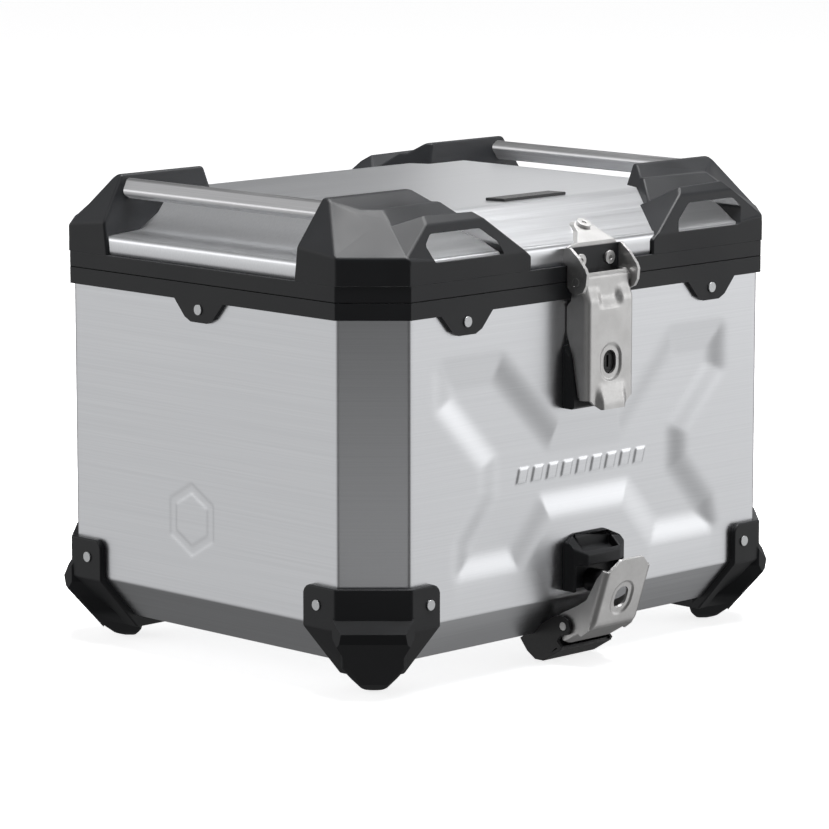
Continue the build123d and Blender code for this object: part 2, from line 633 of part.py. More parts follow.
# ---------------------------------------------------------------- lower latch, on the case
def mount_latch_housing():
    """Black housing with a finger pocket in its top and an open front."""
    side = [(-BODY_Y, 52.5), (-BODY_Y, 91.5), (-178.5, 78.2), (-178.5, 70.5), (-176.0, 66.0), (-176.0, 52.5)]
    housing = side_prism(side, -HOUSING_HALF, HOUSING_HALF)
    housing = keep_below(housing, (16.0, -178.5, 0), (5.0, -9.5, 0))
    housing = keep_below(housing, (-16.0, -178.5, 0), (-5.0, -9.5, 0))
    housing = keep_below(housing, (14.0, 0, 91.5), (3.0, 0, 6.0))
    housing = keep_below(housing, (-14.0, 0, 91.5), (-3.0, 0, 6.0))
    housing -= span(-MOUNT_EAR_IN, MOUNT_EAR_IN, -190, -BODY_Y - 2.2, 40, 70.5)
    pocket = [(-166.4, 100), (-166.4, 80.5), (-175.9, 73.6), (-175.9, 100)]
    return housing - side_prism(pocket, -17.0, 17.0)


def mount_claw():
    """Steel tray with two ears for the lever pin and a hook under the case."""
    ear = [(-157.8, 11.9), (-161.9, 11.2), (-163.4, 13.0), (-158.8, 17.0), (-162.0, 20.8), (-168.6, 22.6),
           (-170.9, 27.2), (-168.8, 32.6), (-164.0, 34.9), (-157.0, 34.4), (-153.7, 32.9), (-142.5, 25.9),
           (-131.2, 18.9), (-124.0, 14.0), (-130.6, 6.0), (-138.2, 1.2), (-146.0, 1.2)]
    claw = side_prism(ear, -MOUNT_EAR_OUT, -MOUNT_EAR_IN) + side_prism(ear, MOUNT_EAR_IN, MOUNT_EAR_OUT)
    tray = [(-162.4, 11.0), (-161.2, 13.2), (-146.4, 3.8), (-139.0, 3.8), (-132.0, 9.0), (-128.0, 15.3),
            (-124.0, 14.0), (-130.6, 6.0), (-138.2, 1.2), (-146.0, 1.2)]
    claw += side_prism(tray, -MOUNT_EAR_OUT, MOUNT_EAR_OUT)
    claw = claw - body_form(0.0, 100)
    return claw - rod_x(PIVOT_R, -30, 30, MOUNT_PIVOT_Y, MOUNT_PIVOT_Z)


def mount_lever_pin():
    return rod_x(PIVOT_R, -MOUNT_EAR_OUT, MOUNT_EAR_OUT, MOUNT_PIVOT_Y, MOUNT_PIVOT_Z)


def mount_latch_lever():
    """U-shaped sheet lever, standing part open."""
    top = (-204.5, 77.0)
    low = (-189.6, 32.7)
    thick_y = 2.1
    side = [top, low, (-183.5, 26.2), (-166.0, 16.2), (-160.0, 15.9), (-155.2, 21.0), (-154.6, 28.0),
            (-158.2, 35.2), (-164.0, 37.3), (-182.4, 48.6), (-197.4, 71.8), (-201.0, 69.6)]
    blank = side_prism(side, -MOUNT_HALF, MOUNT_HALF)
    run = (top[0] - low[0]) / (top[1] - low[1])
    cut = [(low[0] + thick_y, low[1]), (low[0] + thick_y + run * 60, low[1] + 60), (-150, 100), (-150, 0),
           (low[0] + thick_y - run * 20, low[1] - 20)]
    inner = MOUNT_HALF - LEVER_SHEET
    blank = blank - side_prism(cut, -inner, inner)
    corners = front_prism([(-11, 77.1), (11, 77.1), (20, 69.0), (30, 69.0), (30, 0), (-30, 0), (-30, 69.0),
                           (-20, 69.0)], -220, -140)
    blank = flange_hole(blank & corners, MOUNT_PIVOT_Y, MOUNT_PIVOT_Z)
    face = Plane(origin=(0, -195.0, 48.6), x_dir=(1, 0, 0), z_dir=(0, -0.948, -0.319))
    return blank - oval_hole(face, 6)


# ---------------------------------------------------------------- the whole case
def build_case():
    nodes["body_shell"] = body_shell()
    nodes["floor_pan"] = floor_pan()
    nodes["carrier_plate"] = carrier_plate()
    nodes["carrier_tongues"] = carrier_tongues()
    nodes["body_rim"] = body_rim()
    nodes["rim_gasket"] = rim_gasket()
    nodes["rim_rivets"] = rim_rivets()
    for corner, guard in four_ways(protector()).items():
        nodes["protector_" + corner] = guard
    nodes["protector_rivets"] = protector_rivets()
    hinges = [hinge_parts(side) for side in (-1, 1)]
    nodes["hinge_leaves_body"] = [cut_rivets(parts[0], HINGE_RIVET_LOW) for parts in hinges]
    nodes["hinge_leaves_lid"] = [cut_rivets(parts[1], HINGE_RIVET_HIGH) for parts in hinges]
    nodes["hinge_pins"] = [parts[2] for parts in hinges]
    nodes["hinge_rivets_body"] = hinge_rivets_body()
    nodes["hinge_rivets_lid"] = hinge_rivets_lid()
    nodes["lid_shell"] = lid_shell()
    nodes["lid_rim"] = lid_rim()
    for corner, cap in four_ways(corner_cap()).items():
        nodes["corner_cap_" + corner] = cap
    nodes["carry_rail_right"] = rail_bar()
    nodes["carry_rail_left"] = mirror(rail_bar(), about=Plane.YZ)
    nodes["badge_plate"] = badge_plate()
    nodes["lid_latch_bracket"] = lid_latch_bracket()
    nodes["lid_latch_spacer"] = lid_latch_spacer()
    nodes["lid_latch_screws"] = lid_latch_screws()
    nodes["lid_latch_pin"] = lid_latch_pin()
    nodes["lid_latch_lever"] = lid_latch_lever()
    nodes["lid_latch_base"] = lid_latch_base()
    nodes["lid_lock_cylinder"] = lock_cylinder(LOCK_Z, -180.0, -BODY_Y)
    nodes["lid_lock_plug"] = lock_plug(LOCK_Z, -180.0, -BODY_Y)
    nodes["lid_latch_backing"] = backing_plate(180, 228)
    nodes["mount_latch_housing"] = mount_latch_housing()
    nodes["mount_claw"] = mount_claw()
    nodes["mount_lever_pin"] = mount_lever_pin()
    nodes["mount_latch_lever"] = mount_latch_lever()
    nodes["mount_lock_cylinder"] = lock_cylinder(MOUNT_LOCK_Z, -182.6, -BODY_Y - 2.2)
    nodes["mount_lock_plug"] = lock_plug(MOUNT_LOCK_Z, -182.6, -BODY_Y - 2.2)
    nodes["mount_latch_backing"] = backing_plate(54, 90)


def write_case():
    """Writes one STEP file for each node, with every solid moved into the shared frame."""
    os.makedirs("parts", exist_ok=True)
    for name, shape in nodes.items():
        solids = shape if isinstance(shape, list) else [shape]
        moved = [Pos(0, FRAME_Y, 0) * solid for solid in solids]
        export_step(Compound(children=moved), "parts/" + name + ".step")


build_case()
write_case()
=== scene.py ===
import bmesh
import bpy
import numpy as np
from itertools import combinations
from math import cos, pi, radians, sin, sqrt, tan
from mathutils import Matrix, Vector


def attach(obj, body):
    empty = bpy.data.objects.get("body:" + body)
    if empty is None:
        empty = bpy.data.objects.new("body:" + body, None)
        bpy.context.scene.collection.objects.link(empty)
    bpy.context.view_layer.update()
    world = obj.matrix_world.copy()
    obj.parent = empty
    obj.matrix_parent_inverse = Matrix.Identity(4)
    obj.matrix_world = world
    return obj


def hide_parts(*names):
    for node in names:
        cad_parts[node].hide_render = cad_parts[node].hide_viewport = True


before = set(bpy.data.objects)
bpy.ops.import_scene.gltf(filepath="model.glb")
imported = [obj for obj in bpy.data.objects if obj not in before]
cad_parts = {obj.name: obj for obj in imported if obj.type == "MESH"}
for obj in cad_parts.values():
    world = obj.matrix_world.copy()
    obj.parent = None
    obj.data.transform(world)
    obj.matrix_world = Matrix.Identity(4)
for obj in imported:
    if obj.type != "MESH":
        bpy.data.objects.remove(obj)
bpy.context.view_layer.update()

# Lengths are in millimetres round the centre of the case body, as in the CAD source, until a mesh is made.
# X is right as seen from the latch side, -Y is the latch side, Z is up.
MM = 0.001
FRAME_Y = 14.15                  # from the body's centre to the shared frame's origin, along Y

# ---------------------------------------------------------------- driving dimensions, as in the CAD source
SHEET = 1.5
SHEET_SHARP = 40                 # degrees above which an edge of the sheets stays sharp
BODY_X = 205.0
BODY_Y = 163.4
CORNER = 33.2
FLOOR_Z = 18.7
CREASE_Z = 48.9
BEVEL_IN = 27.0
SHEET_TOP = 260.5
RIM_OUT = 3.0
LID_RIM_TOP = 275.0
LID_SHEET_LOW = 267.2
LEDGE_Z = 288.0
LID_TOP = 313.7
PANEL_X = 146.0
PANEL_Y = 114.0
WALL_SLOPE = 1.08
LEDGE_SLOPE = 0.07
CAP_X = BODY_X + RIM_OUT
CAP_Y = BODY_Y + RIM_OUT
KNEE_Z = 293.7
KNEE_CORNER = (CAP_X, 131.4, KNEE_Z)
RIDGE_Y = 104.2
RIDGE_Z = 328.5
TIER_Y = 126.2
TIER_Z = 320.7
CAP_END_Y = 92.6
CAP_END_LEAN = (0, -0.993, 0.122)
SIDE_LEAN = (0.842, 0.061, 0.536)
CORNER_SIDE = (174.0, 166.4, 0)
INNER_FOOT = (61.0, 167.0, LID_RIM_TOP)
INNER_LEAN = (-0.857, -0.404, 0.320)
BROAD_LEAN = (0.233, 0.711, 0.664)
CORNER_LEAN = (1, 1, 1.99)
LOOP_RIDGE = (147.0, 151.0, 318.0)
WINDOW = [(150.5, 288.0), (156.0, 299.8), (149.5, 306.5), (103.5, 306.5), (89.0, 296.0), (86.0, 288.0)]
CAP_ROUND = 2.6
FAR = 300.0                      # further out than any piece reaches
TOUCH = 0.01                     # points closer than this are one point


# ---------------------------------------------------------------- mesh helpers
def in_frame(points):
    """Points round the body's centre in millimetres, as points of the shared frame in metres."""
    moved = np.array(points, float) + np.array((0.0, FRAME_Y, 0.0))
    return moved * MM


def new_object(name, points, faces):
    mesh = bpy.data.meshes.new(name)
    mesh.from_pydata([tuple(p) for p in in_frame(points)], [], faces)
    mesh.validate()
    piece = bpy.data.objects.new(name, mesh)
    bpy.context.scene.collection.objects.link(piece)
    return piece


def object_from(bm, name):
    """Turns a bmesh drawn in millimetres into an object in the shared frame."""
    bmesh.ops.translate(bm, verts=bm.verts, vec=(0, FRAME_Y, 0))
    bmesh.ops.scale(bm, verts=bm.verts, vec=(MM, MM, MM))
    bmesh.ops.recalc_face_normals(bm, faces=bm.faces)
    mesh = bpy.data.meshes.new(name)
    bm.to_mesh(mesh)
    bm.free()
    piece = bpy.data.objects.new(name, mesh)
    bpy.context.scene.collection.objects.link(piece)
    return piece


def convex_solid(planes):
    """Bmesh of the convex solid behind every (point, outward normal) plane."""
    normals = np.array([np.array(n, float) / np.linalg.norm(n) for _, n in planes])
    reach = np.array([np.dot(p, n) for (p, _), n in zip(planes, normals)])
    corners = []
    for trio in combinations(range(len(planes)), 3):
        sides = normals[list(trio)]
        if abs(np.linalg.det(sides)) < 1e-6:
            continue
        corner = np.linalg.solve(sides, reach[list(trio)])
        if np.all(normals @ corner <= reach + 1e-6):
            corners.append(corner)
    bm = bmesh.new()
    for corner in corners:
        bm.verts.new(corner)
    bmesh.ops.remove_doubles(bm, verts=bm.verts, dist=TOUCH)
    bmesh.ops.convex_hull(bm, input=bm.verts)
    bmesh.ops.dissolve_limit(bm, angle_limit=radians(1), verts=bm.verts, edges=bm.edges)
    return bm


def block(x0, x1, y0, y1, z0, z1):
    """Planes of a box from its low and high corners."""
    low = (x0, y0, z0)
    high = (x1, y1, z1)
    outward = np.eye(3)
    return [(high, n) for n in outward] + [(low, -n) for n in outward]


def round_edges(bm, radius, segments=4, angle=12):
    """Rounds every edge of a bmesh that is sharper than angle."""
    sharp = [e for e in bm.edges if e.is_manifold and e.calc_face_angle() > radians(angle)]
    bmesh.ops.bevel(bm, geom=sharp, offset=radius, offset_type="OFFSET", segments=segments, profile=0.5,
                    affect="EDGES", clamp_overlap=True, miter_outer="ARC")
    return bm


def combined(first, second, operation):
    """Applies one boolean and removes the second object."""
    change = first.modifiers.new("join", "BOOLEAN")
    change.operation = operation
    change.solver = "MANIFOLD"
    change.object = second
    result = applied(first)
    first.modifiers.clear()
    first.data = result
    bpy.data.objects.remove(second)
    return first


def keep_flat(piece):
    """Last modifier of a piece: flat faces shade flat beside rounded edges."""
    even = piece.modifiers.new("flat faces", "WEIGHTED_NORMAL")
    even.keep_sharp = True


def shade(piece, angle):
    """Smooth shading with sharp edges above angle."""
    piece.data.shade_smooth()
    piece.data.set_sharp_from_angle(angle=radians(angle))


def bevel_edges(piece, width, segments, angle):
    """Rounds the edges sharper than angle with a modifier."""
    bevel = piece.modifiers.new("edge", "BEVEL")
    bevel.width = width * MM
    bevel.segments = segments
    bevel.limit_method = "ANGLE"
    bevel.angle_limit = radians(angle)
    bevel.use_clamp_overlap = True
    bevel.harden_normals = False


def thicken(piece, thickness, side):
    """Gives a surface its thickness, to the inside with side -1 and the outside with side 1."""
    thick = piece.modifiers.new("sheet", "SOLIDIFY")
    thick.thickness = thickness * MM
    thick.offset = side
    return thick


def applied(piece):
    """Mesh of a piece with its modifiers."""
    bpy.context.view_layer.update()
    return bpy.data.meshes.new_from_object(piece.evaluated_get(bpy.context.evaluated_depsgraph_get()))


def dress(piece, body, material, slot, *nodes):
    """Gives a new piece its body, finish and the CAD nodes that it stands for."""
    piece.data.materials.clear()
    piece.data.materials.append(material)
    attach(piece, body)
    if nodes:
        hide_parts(*nodes)
    return piece


def mirrored(piece, name, across_x, across_y):
    """Copy of a piece mirrored across the body's middle planes."""
    mesh = piece.data.copy()
    copy = bpy.data.objects.new(name, mesh)
    bpy.context.scene.collection.objects.link(copy)
    middle = Matrix.Translation((0, FRAME_Y * MM, 0))
    flip = Matrix.Diagonal((-1 if across_x else 1, -1 if across_y else 1, 1, 1))
    mesh.transform(middle @ flip @ middle.inverted())
    if across_x != across_y:
        mesh.flip_normals()
    return copy


def loft(rings, closed):
    """Faces between rings of equal length, as (points, faces)."""
    count = len(rings[0])
    points = [p for ring in rings for p in ring]
    faces = []
    last = count if closed else count - 1
    for level in range(len(rings) - 1):
        for i in range(last):
            j = (i + 1) % count
            a = level * count
            b = a + count
            faces.append((a + i, a + j, b + j, b + i))
    return points, faces


def extruded(outline, push):
    """Bmesh of a flat outline pushed along a vector."""
    bm = bmesh.new()
    front = bm.faces.new([bm.verts.new(point) for point in outline])
    made = bmesh.ops.extrude_face_region(bm, geom=[front])
    moved = [v for v in made["geom"] if isinstance(v, bmesh.types.BMVert)]
    bmesh.ops.translate(bm, verts=moved, vec=push)
    return bm


def runs(*parts):
    """Values of runs given as (start, end, step), each without its end."""
    return np.concatenate([np.arange(*part) for part in parts])


def both_halves(half):
    """Values from zero up, with their mirror image before them."""
    return [-v for v in reversed(half[1:])] + half


def smooth_step(t):
    t = np.clip(t, 0, 1)
    return t * t * (3 - 2 * t)


def soft_min(a, b, width):
    h = np.clip(0.5 + (b - a) / (2 * width), 0, 1)
    return b * (1 - h) + a * h - width * h * (1 - h)


def soft_max(a, b, width):
    return -soft_min(-a, -b, width)


def bend_point(start, corner, end, t):
    """Point at share t of the bend from start to end round a corner."""
    return start * (1 - t) ** 2 + corner * 2 * t * (1 - t) + end * t ** 2


def rounded_path(corners, radius, steps):
    """Open path in a plane whose inner corners are rounded."""
    path = [corners[0]]
    for before, corner, after in zip(corners, corners[1:], corners[2:]):
        back = Vector(before) - Vector(corner)
        on = Vector(after) - Vector(corner)
        half = back.angle(on) / 2
        cut = min(radius / tan(half), back.length * 0.49, on.length * 0.49)
        start = Vector(corner) + back.normalized() * cut
        end = Vector(corner) + on.normalized() * cut
        for k in range(steps + 1):
            path.append(tuple(bend_point(start, Vector(corner), end, k / steps)))
    path.append(corners[-1])
    return path


# ---------------------------------------------------------------- materials
def material(name, colour, metallic, roughness, shine=0.5):
    made = bpy.data.materials.new(name)
    made.use_nodes = True
    shader = made.node_tree.nodes["Principled BSDF"]
    shader.inputs["Base Color"].default_value = (*colour, 1)
    shader.inputs["Metallic"].default_value = metallic
    shader.inputs["Roughness"].default_value = roughness
    shader.inputs["Specular IOR Level"].default_value = shine
    return made


def noise(made, detail, size, scale=(1, 1, 1)):
    """Noise over the object's own coordinates, finer with a larger size, stretched by scale."""
    nodes = made.node_tree.nodes
    links = made.node_tree.links
    place = nodes.new("ShaderNodeTexCoord")
    stretch = nodes.new("ShaderNodeMapping")
    stretch.inputs["Scale"].default_value = scale
    texture = nodes.new("ShaderNodeTexNoise")
    texture.inputs["Scale"].default_value = size
    texture.inputs["Detail"].default_value = detail
    links.new(place.outputs["Object"], stretch.inputs["Vector"])
    links.new(stretch.outputs["Vector"], texture.inputs["Vector"])
    return texture.outputs["Fac"]


def spread(made, value, low, high):
    """Maps a 0 to 1 value to low to high, from the middle of the noise's range."""
    remap = made.node_tree.nodes.new("ShaderNodeMapRange")
    remap.inputs["From Min"].default_value = 0.3
    remap.inputs["From Max"].default_value = 0.7
    remap.inputs["To Min"].default_value = low
    remap.inputs["To Max"].default_value = high
    made.node_tree.links.new(value, remap.inputs["Value"])
    return remap.outputs["Result"]


def vary_roughness(made, value, low, high):
    shader = made.node_tree.nodes["Principled BSDF"]
    made.node_tree.links.new(spread(made, value, low, high), shader.inputs["Roughness"])


def vary_colour(made, value, dark, light):
    nodes = made.node_tree.nodes
    links = made.node_tree.links
    ramp = nodes.new("ShaderNodeValToRGB")
    ramp.color_ramp.elements[0].position = 0.3
    ramp.color_ramp.elements[1].position = 0.7
    ramp.color_ramp.elements[0].color = (*dark, 1)
    ramp.color_ramp.elements[1].color = (*light, 1)
    links.new(value, ramp.inputs["Fac"])
    links.new(ramp.outputs["Color"], nodes["Principled BSDF"].inputs["Base Color"])


def add_bump(made, value, depth_mm, strength):
    nodes = made.node_tree.nodes
    links = made.node_tree.links
    bump = nodes.new("ShaderNodeBump")
    bump.inputs["Strength"].default_value = strength
    bump.inputs["Distance"].default_value = depth_mm * MM
    links.new(value, bump.inputs["Height"])
    shader = nodes["Principled BSDF"]
    if shader.inputs["Normal"].is_linked:
        links.new(shader.inputs["Normal"].links[0].from_socket, bump.inputs["Normal"])
    links.new(bump.outputs["Normal"], shader.inputs["Normal"])


def brushed(name, dark, light, scale, low, high):
    """Brushed metal whose lines run along the directions with a small scale."""
    made = material(name, light, 1.0, (low + high) / 2)
    lines = noise(made, detail=4.0, size=1.0, scale=scale)
    vary_roughness(made, lines, low, high)
    vary_colour(made, lines, dark, light)
    add_bump(made, lines, depth_mm=0.02, strength=0.22)
    return made


def make_wall_metal():
    return brushed("brushed aluminium wall", (0.68, 0.69, 0.71), (0.73, 0.74, 0.76), (6, 6, 900), 0.28, 0.33)


def make_lid_metal():
    return brushed("brushed aluminium lid", (0.74, 0.75, 0.77), (0.80, 0.81, 0.83), (6, 900, 500), 0.32, 0.37)


def make_rail_metal():
    return brushed("satin rail", (0.55, 0.55, 0.56), (0.64, 0.64, 0.65), (1500, 12, 1500), 0.28, 0.40)


def make_satin_steel():
    made = material("satin steel", (0.62, 0.615, 0.61), metallic=1.0, roughness=0.40)
    grain = noise(made, detail=5.0, size=900)
    vary_roughness(made, grain, low=0.36, high=0.50)
    wear = noise(made, detail=3.0, size=60)
    vary_colour(made, wear, (0.58, 0.575, 0.57), (0.67, 0.665, 0.66))
    add_bump(made, grain, depth_mm=0.05, strength=0.3)
    return made


def make_black_plastic():
    made = material("black plastic", (0.018, 0.019, 0.021), metallic=0.0, roughness=0.46, shine=0.36)
    grain = noise(made, detail=4.0, size=1400)
    patches = noise(made, detail=3.0, size=18)
    vary_roughness(made, patches, low=0.40, high=0.54)
    vary_colour(made, patches, (0.014, 0.015, 0.017), (0.022, 0.023, 0.026))
    add_bump(made, grain, depth_mm=0.06, strength=0.35)
    return made


def grained(name, colour, metallic, roughness, size, depth_mm, strength=0.3):
    """Plain finish with a fine even grain; roughness is (plain, low, high)."""
    plain, low, high = roughness
    made = material(name, colour, metallic, plain)
    grain = noise(made, detail=4.0, size=size)
    vary_roughness(made, grain, low, high)
    add_bump(made, grain, depth_mm, strength)
    return made


def make_black_steel():
    return grained("black coated steel", (0.016, 0.016, 0.017), 0.2, (0.38, 0.32, 0.48), 700, 0.03)


def make_rivet_metal():
    return grained("plain rivet aluminium", (0.60, 0.61, 0.62), 1.0, (0.45, 0.4, 0.55), 1200, 0.03)


def make_rubber():
    return grained("black rubber", (0.012, 0.012, 0.012), 0.0, (0.7, 0.62, 0.8), 800, 0.04)


def make_badge_black():
    return grained("nameplate black", (0.012, 0.012, 0.013), 0.0, (0.3, 0.25, 0.4), 600, 0.03, 0.2)


WALL_METAL = make_wall_metal()
LID_METAL = make_lid_metal()
RAIL_METAL = make_rail_metal()
SATIN_STEEL = make_satin_steel()
BLACK_PLASTIC = make_black_plastic()
BLACK_STEEL = make_black_steel()
RIVET_METAL = make_rivet_metal()
RUBBER = make_rubber()
BADGE_BLACK = make_badge_black()


# ---------------------------------------------------------------- case body
def corner_cut(grow):
    return CORNER + grow * (2 - sqrt(2))


BEND = 5.0                       # size of the sheet's bends
BEND_STEPS = 6
OPEN_INSET = 29.0                # edge of the sheet's open bottom, in from the wall
FLAT_FROM = 70.0                 # the pressed shapes stay above this height
FRONT_SIDE = 0                   # places of these two sides in the outline
LEFT_SIDE = 6
PLAIN_SHARES = np.linspace(0, 1, 9)[1:-1]
# Where the sheet has points, as (start, end, spacing), close together at the pressed shapes.
FRONT_RUNS = ((-167, -72, 2.5), (-72, 66, 1.0), (66, 168, 2.5))
LEFT_RUNS = ((124, 40, -8.0), (40, -16, -1.25), (-16, -127, -8.0))
WALL_RUNS = ((FLAT_FROM, 76, 2.0), (76, 126, 1.25), (126, 129, 1.0), (129, 143.5, 0.75),
             (145, SHEET_TOP, 2.0))


def outline(inset, front_shares, left_shares):
    """Body outline moved in by inset, with soft corners. The shares space out the front and left sides."""
    x = BODY_X - inset
    y = BODY_Y - inset
    c = corner_cut(-inset)
    corners = [(-x + c, -y), (x - c, -y), (x, -y + c), (x, y - c)]
    corners += [(-along, -across) for along, across in corners]
    path = []
    for i, corner in enumerate(corners):
        before = Vector(corners[i - 1])
        here = Vector(corner)
        after = Vector(corners[(i + 1) % len(corners)])
        back = (before - here).normalized()
        on = (after - here).normalized()
        reach = BEND * tan((pi - back.angle(on)) / 2)
        for t in np.linspace(0, 1, BEND_STEPS + 1):
            path.append(tuple(bend_point(here + back * reach, here, here + on * reach, t)))
        start = here + on * reach
        end = after - on * reach
        shares = {FRONT_SIDE: front_shares, LEFT_SIDE: left_shares}.get(i, PLAIN_SHARES)
        path += [tuple(start.lerp(end, t)) for t in shares]
    return path


def polygon_distance(px, pz, polygon):
    """Signed distance to a polygon in (along, z), positive inside."""
    inside = np.zeros(px.shape, bool)
    nearest = np.full(px.shape, 1e9)
    for (ax, az), (bx, bz) in zip(polygon, polygon[1:] + polygon[:1]):
        ex = bx - ax
        ez = bz - az
        t = np.clip(((px - ax) * ex + (pz - az) * ez) / (ex * ex + ez * ez), 0, 1)
        nearest = np.minimum(nearest, np.hypot(px - ax - t * ex, pz - az - t * ez))
        crosses = (az > pz) != (bz > pz)
        with np.errstate(divide="ignore", invalid="ignore"):
            at_x = ax + (pz - az) * ex / np.where(ez == 0, 1e-9, ez)
        inside ^= crosses & (px < at_x)
    return np.where(inside, nearest, -nearest)


PRESSED_CROSS = [                # (x, z) of the cross pressed into the front wall
    (-139, 213), (-139, 193), (-96, 149), (-96, 127), (-121, 98), (-122, 80), (-72, 80), (-42, 113),
    (38, 113), (68, 80), (124, 80), (120, 95), (91, 127), (91, 150), (131, 190), (131, 213),
    (84, 213), (32, 160), (-34, 160), (-88, 213),
]
CROSS_DEPTH = 3.0
CROSS_SLOPE = 25.0               # width of the pressed cross's sloped border
BAR_LOW = 131.0
BAR_HIGH = 141.0
BAR_START = -68.0
BAR_STEP = 14.5
BAR_WIDTH = 9.0
BAR_SLANT = 0.27
BAR_COUNT = 9
BAR_EDGE = 2.0                   # width of a bar's sloped border
MARK_RAISE = 0.6
HEX_Y = 12.0
HEX_Z = 102.0
HEX_OUT = 25.0
HEX_IN = 18.0
HEX_EDGE = 3.0


def bar_polygons():
    """Row of plain slanted bars."""
    bars = []
    for k in range(BAR_COUNT):
        x = BAR_START + k * BAR_STEP
        lean = BAR_SLANT * (BAR_HIGH - BAR_LOW)
        end = x + BAR_WIDTH
        bars.append([(x, BAR_LOW), (end, BAR_LOW), (end + lean, BAR_HIGH), (x + lean, BAR_HIGH)])
    return bars


def hexagon(radius):
    return [(HEX_Y + radius * sin(k * pi / 3), HEX_Z + radius * cos(k * pi / 3)) for k in range(6)]


def front_push(x, z):
    """How far the front wall is pressed in at (x, z)."""
    cross = CROSS_DEPTH * smooth_step(0.5 + polygon_distance(x, z, PRESSED_CROSS) / CROSS_SLOPE)
    raised = np.zeros(x.shape)
    for bar in bar_polygons():
        raised = np.maximum(raised, smooth_step(0.5 + polygon_distance(x, z, bar) / BAR_EDGE))
    return cross - MARK_RAISE * raised


def left_push(y, z):
    """How far the left wall is pressed in at (y, z): a plain hexagon ring."""
    ring = np.minimum(polygon_distance(y, z, hexagon(HEX_OUT)), -polygon_distance(y, z, hexagon(HEX_IN)))
    return MARK_RAISE * smooth_step(0.5 + ring / HEX_EDGE)


def body_profile():
    """(inset, z) from the open bottom up the bevel and the wall."""
    corners = [(OPEN_INSET, FLOOR_Z), (BEVEL_IN, FLOOR_Z), (0.0, CREASE_Z), (0.0, FLAT_FROM)]
    path = rounded_path(corners, BEND, BEND_STEPS)
    return path[:-1] + [(0.0, z) for z in runs(*WALL_RUNS)] + [(0.0, SHEET_TOP)]


def make_body_shell():
    soft = BEND * tan(pi / 8)
    front_start = BODY_X - CORNER - soft
    left_start = BODY_Y - CORNER - soft
    front_shares = (runs(*FRONT_RUNS) + front_start) / (2 * front_start)
    left_shares = (left_start - runs(*LEFT_RUNS)) / (2 * left_start)
    rings = []
    for inset, z in body_profile():
        ring = np.array([(x, y, z) for x, y in outline(inset, front_shares, left_shares)])
        if inset == 0.0:
            on_front = np.abs(ring[:, 1] + BODY_Y) < TOUCH
            ring[on_front, 1] += front_push(ring[on_front, 0], ring[on_front, 2])
            on_left = np.abs(ring[:, 0] + BODY_X) < TOUCH
            ring[on_left, 0] += left_push(ring[on_left, 1], ring[on_left, 2])
        rings.append(ring)
    piece = new_object("case_body_sheet", *loft(rings, True))
    thicken(piece, SHEET, -1)
    shade(piece, SHEET_SHARP)
    return dress(piece, "case", WALL_METAL, "brushed_aluminium", "body_shell")


# ---------------------------------------------------------------- lid
LID_SOFTNESS = 9.0               # how softly the side walls run out into the ledges
BEVEL_SOFTNESS = 2.5             # where the front and rear bevels meet the sides
TOP_SOFTNESS = 2.0               # round the top
LID_EDGE = 4.0                   # radius of the bend into the skirt
LID_EDGE_STEPS = 6
EDGE_NEAR = 0.3                  # how near a point counts as on the outline's slanted side
COLUMN_RUNS = ((0, 140, 5.0), (140, 171.8, 1.3))
COLUMN_ENDS = [171.8, 174.0, 177.0, 182.0, 188.0, 193.0, 197.0, 199.5, BODY_X - LID_EDGE]
ROW_RUNS = ((0, 104, 5.0), (105, 122, 1.2), (124, 159.5, 3.5))


def lid_height(x, y):
    """Height of the lid sheet over (x, y): front and rear bevels, soft side walls and the pressed top."""
    slope = (LID_TOP - LEDGE_Z) / (BODY_Y - PANEL_Y)
    front = LEDGE_Z + (BODY_Y - np.abs(y)) * slope
    wall = LID_TOP - (np.abs(x) - PANEL_X) * WALL_SLOPE
    ledge = LEDGE_Z + (BODY_X - np.abs(x)) * LEDGE_SLOPE
    side = soft_max(wall, ledge, LID_SOFTNESS)
    return soft_min(soft_min(front, side, BEVEL_SOFTNESS), np.full(x.shape, LID_TOP), TOP_SOFTNESS)


def lid_column(x, y):
    """Moves the outer columns in where the outline's corner is cut."""
    inner = BODY_X - CORNER
    if abs(x) <= inner:
        return x
    reach = BODY_X - LID_EDGE
    over = abs(y) - (BODY_Y - CORNER - LID_EDGE * (sqrt(2) - 1))
    if over > 0:
        reach -= over
    share = (abs(x) - inner) / (BODY_X - LID_EDGE - inner)
    return (inner + share * (reach - inner)) * (1 if x > 0 else -1)


def lid_surface():
    """(points, faces, loop) of the lid above its skirt; the loop runs round the edge."""
    columns = both_halves(list(runs(*COLUMN_RUNS)) + COLUMN_ENDS)
    rows = both_halves(list(runs(*ROW_RUNS)) + [BODY_Y - LID_EDGE])
    points = np.array([(lid_column(x, y), y, 0.0) for y in rows for x in columns])
    points[:, 2] = lid_height(points[:, 0], points[:, 1])
    wide = len(columns)
    starts = range(0, wide * (len(rows) - 1), wide)
    faces = [(a + c, a + c + 1, a + c + 1 + wide, a + c + wide) for a in starts for c in range(wide - 1)]
    bottom = list(range(wide))
    right = [r * wide + wide - 1 for r in range(1, len(rows))]
    top = [(len(rows) - 1) * wide + c for c in range(wide - 2, -1, -1)]
    left = [r * wide for r in range(len(rows) - 2, 0, -1)]
    return list(map(tuple, points)), faces, bottom + right + top + left


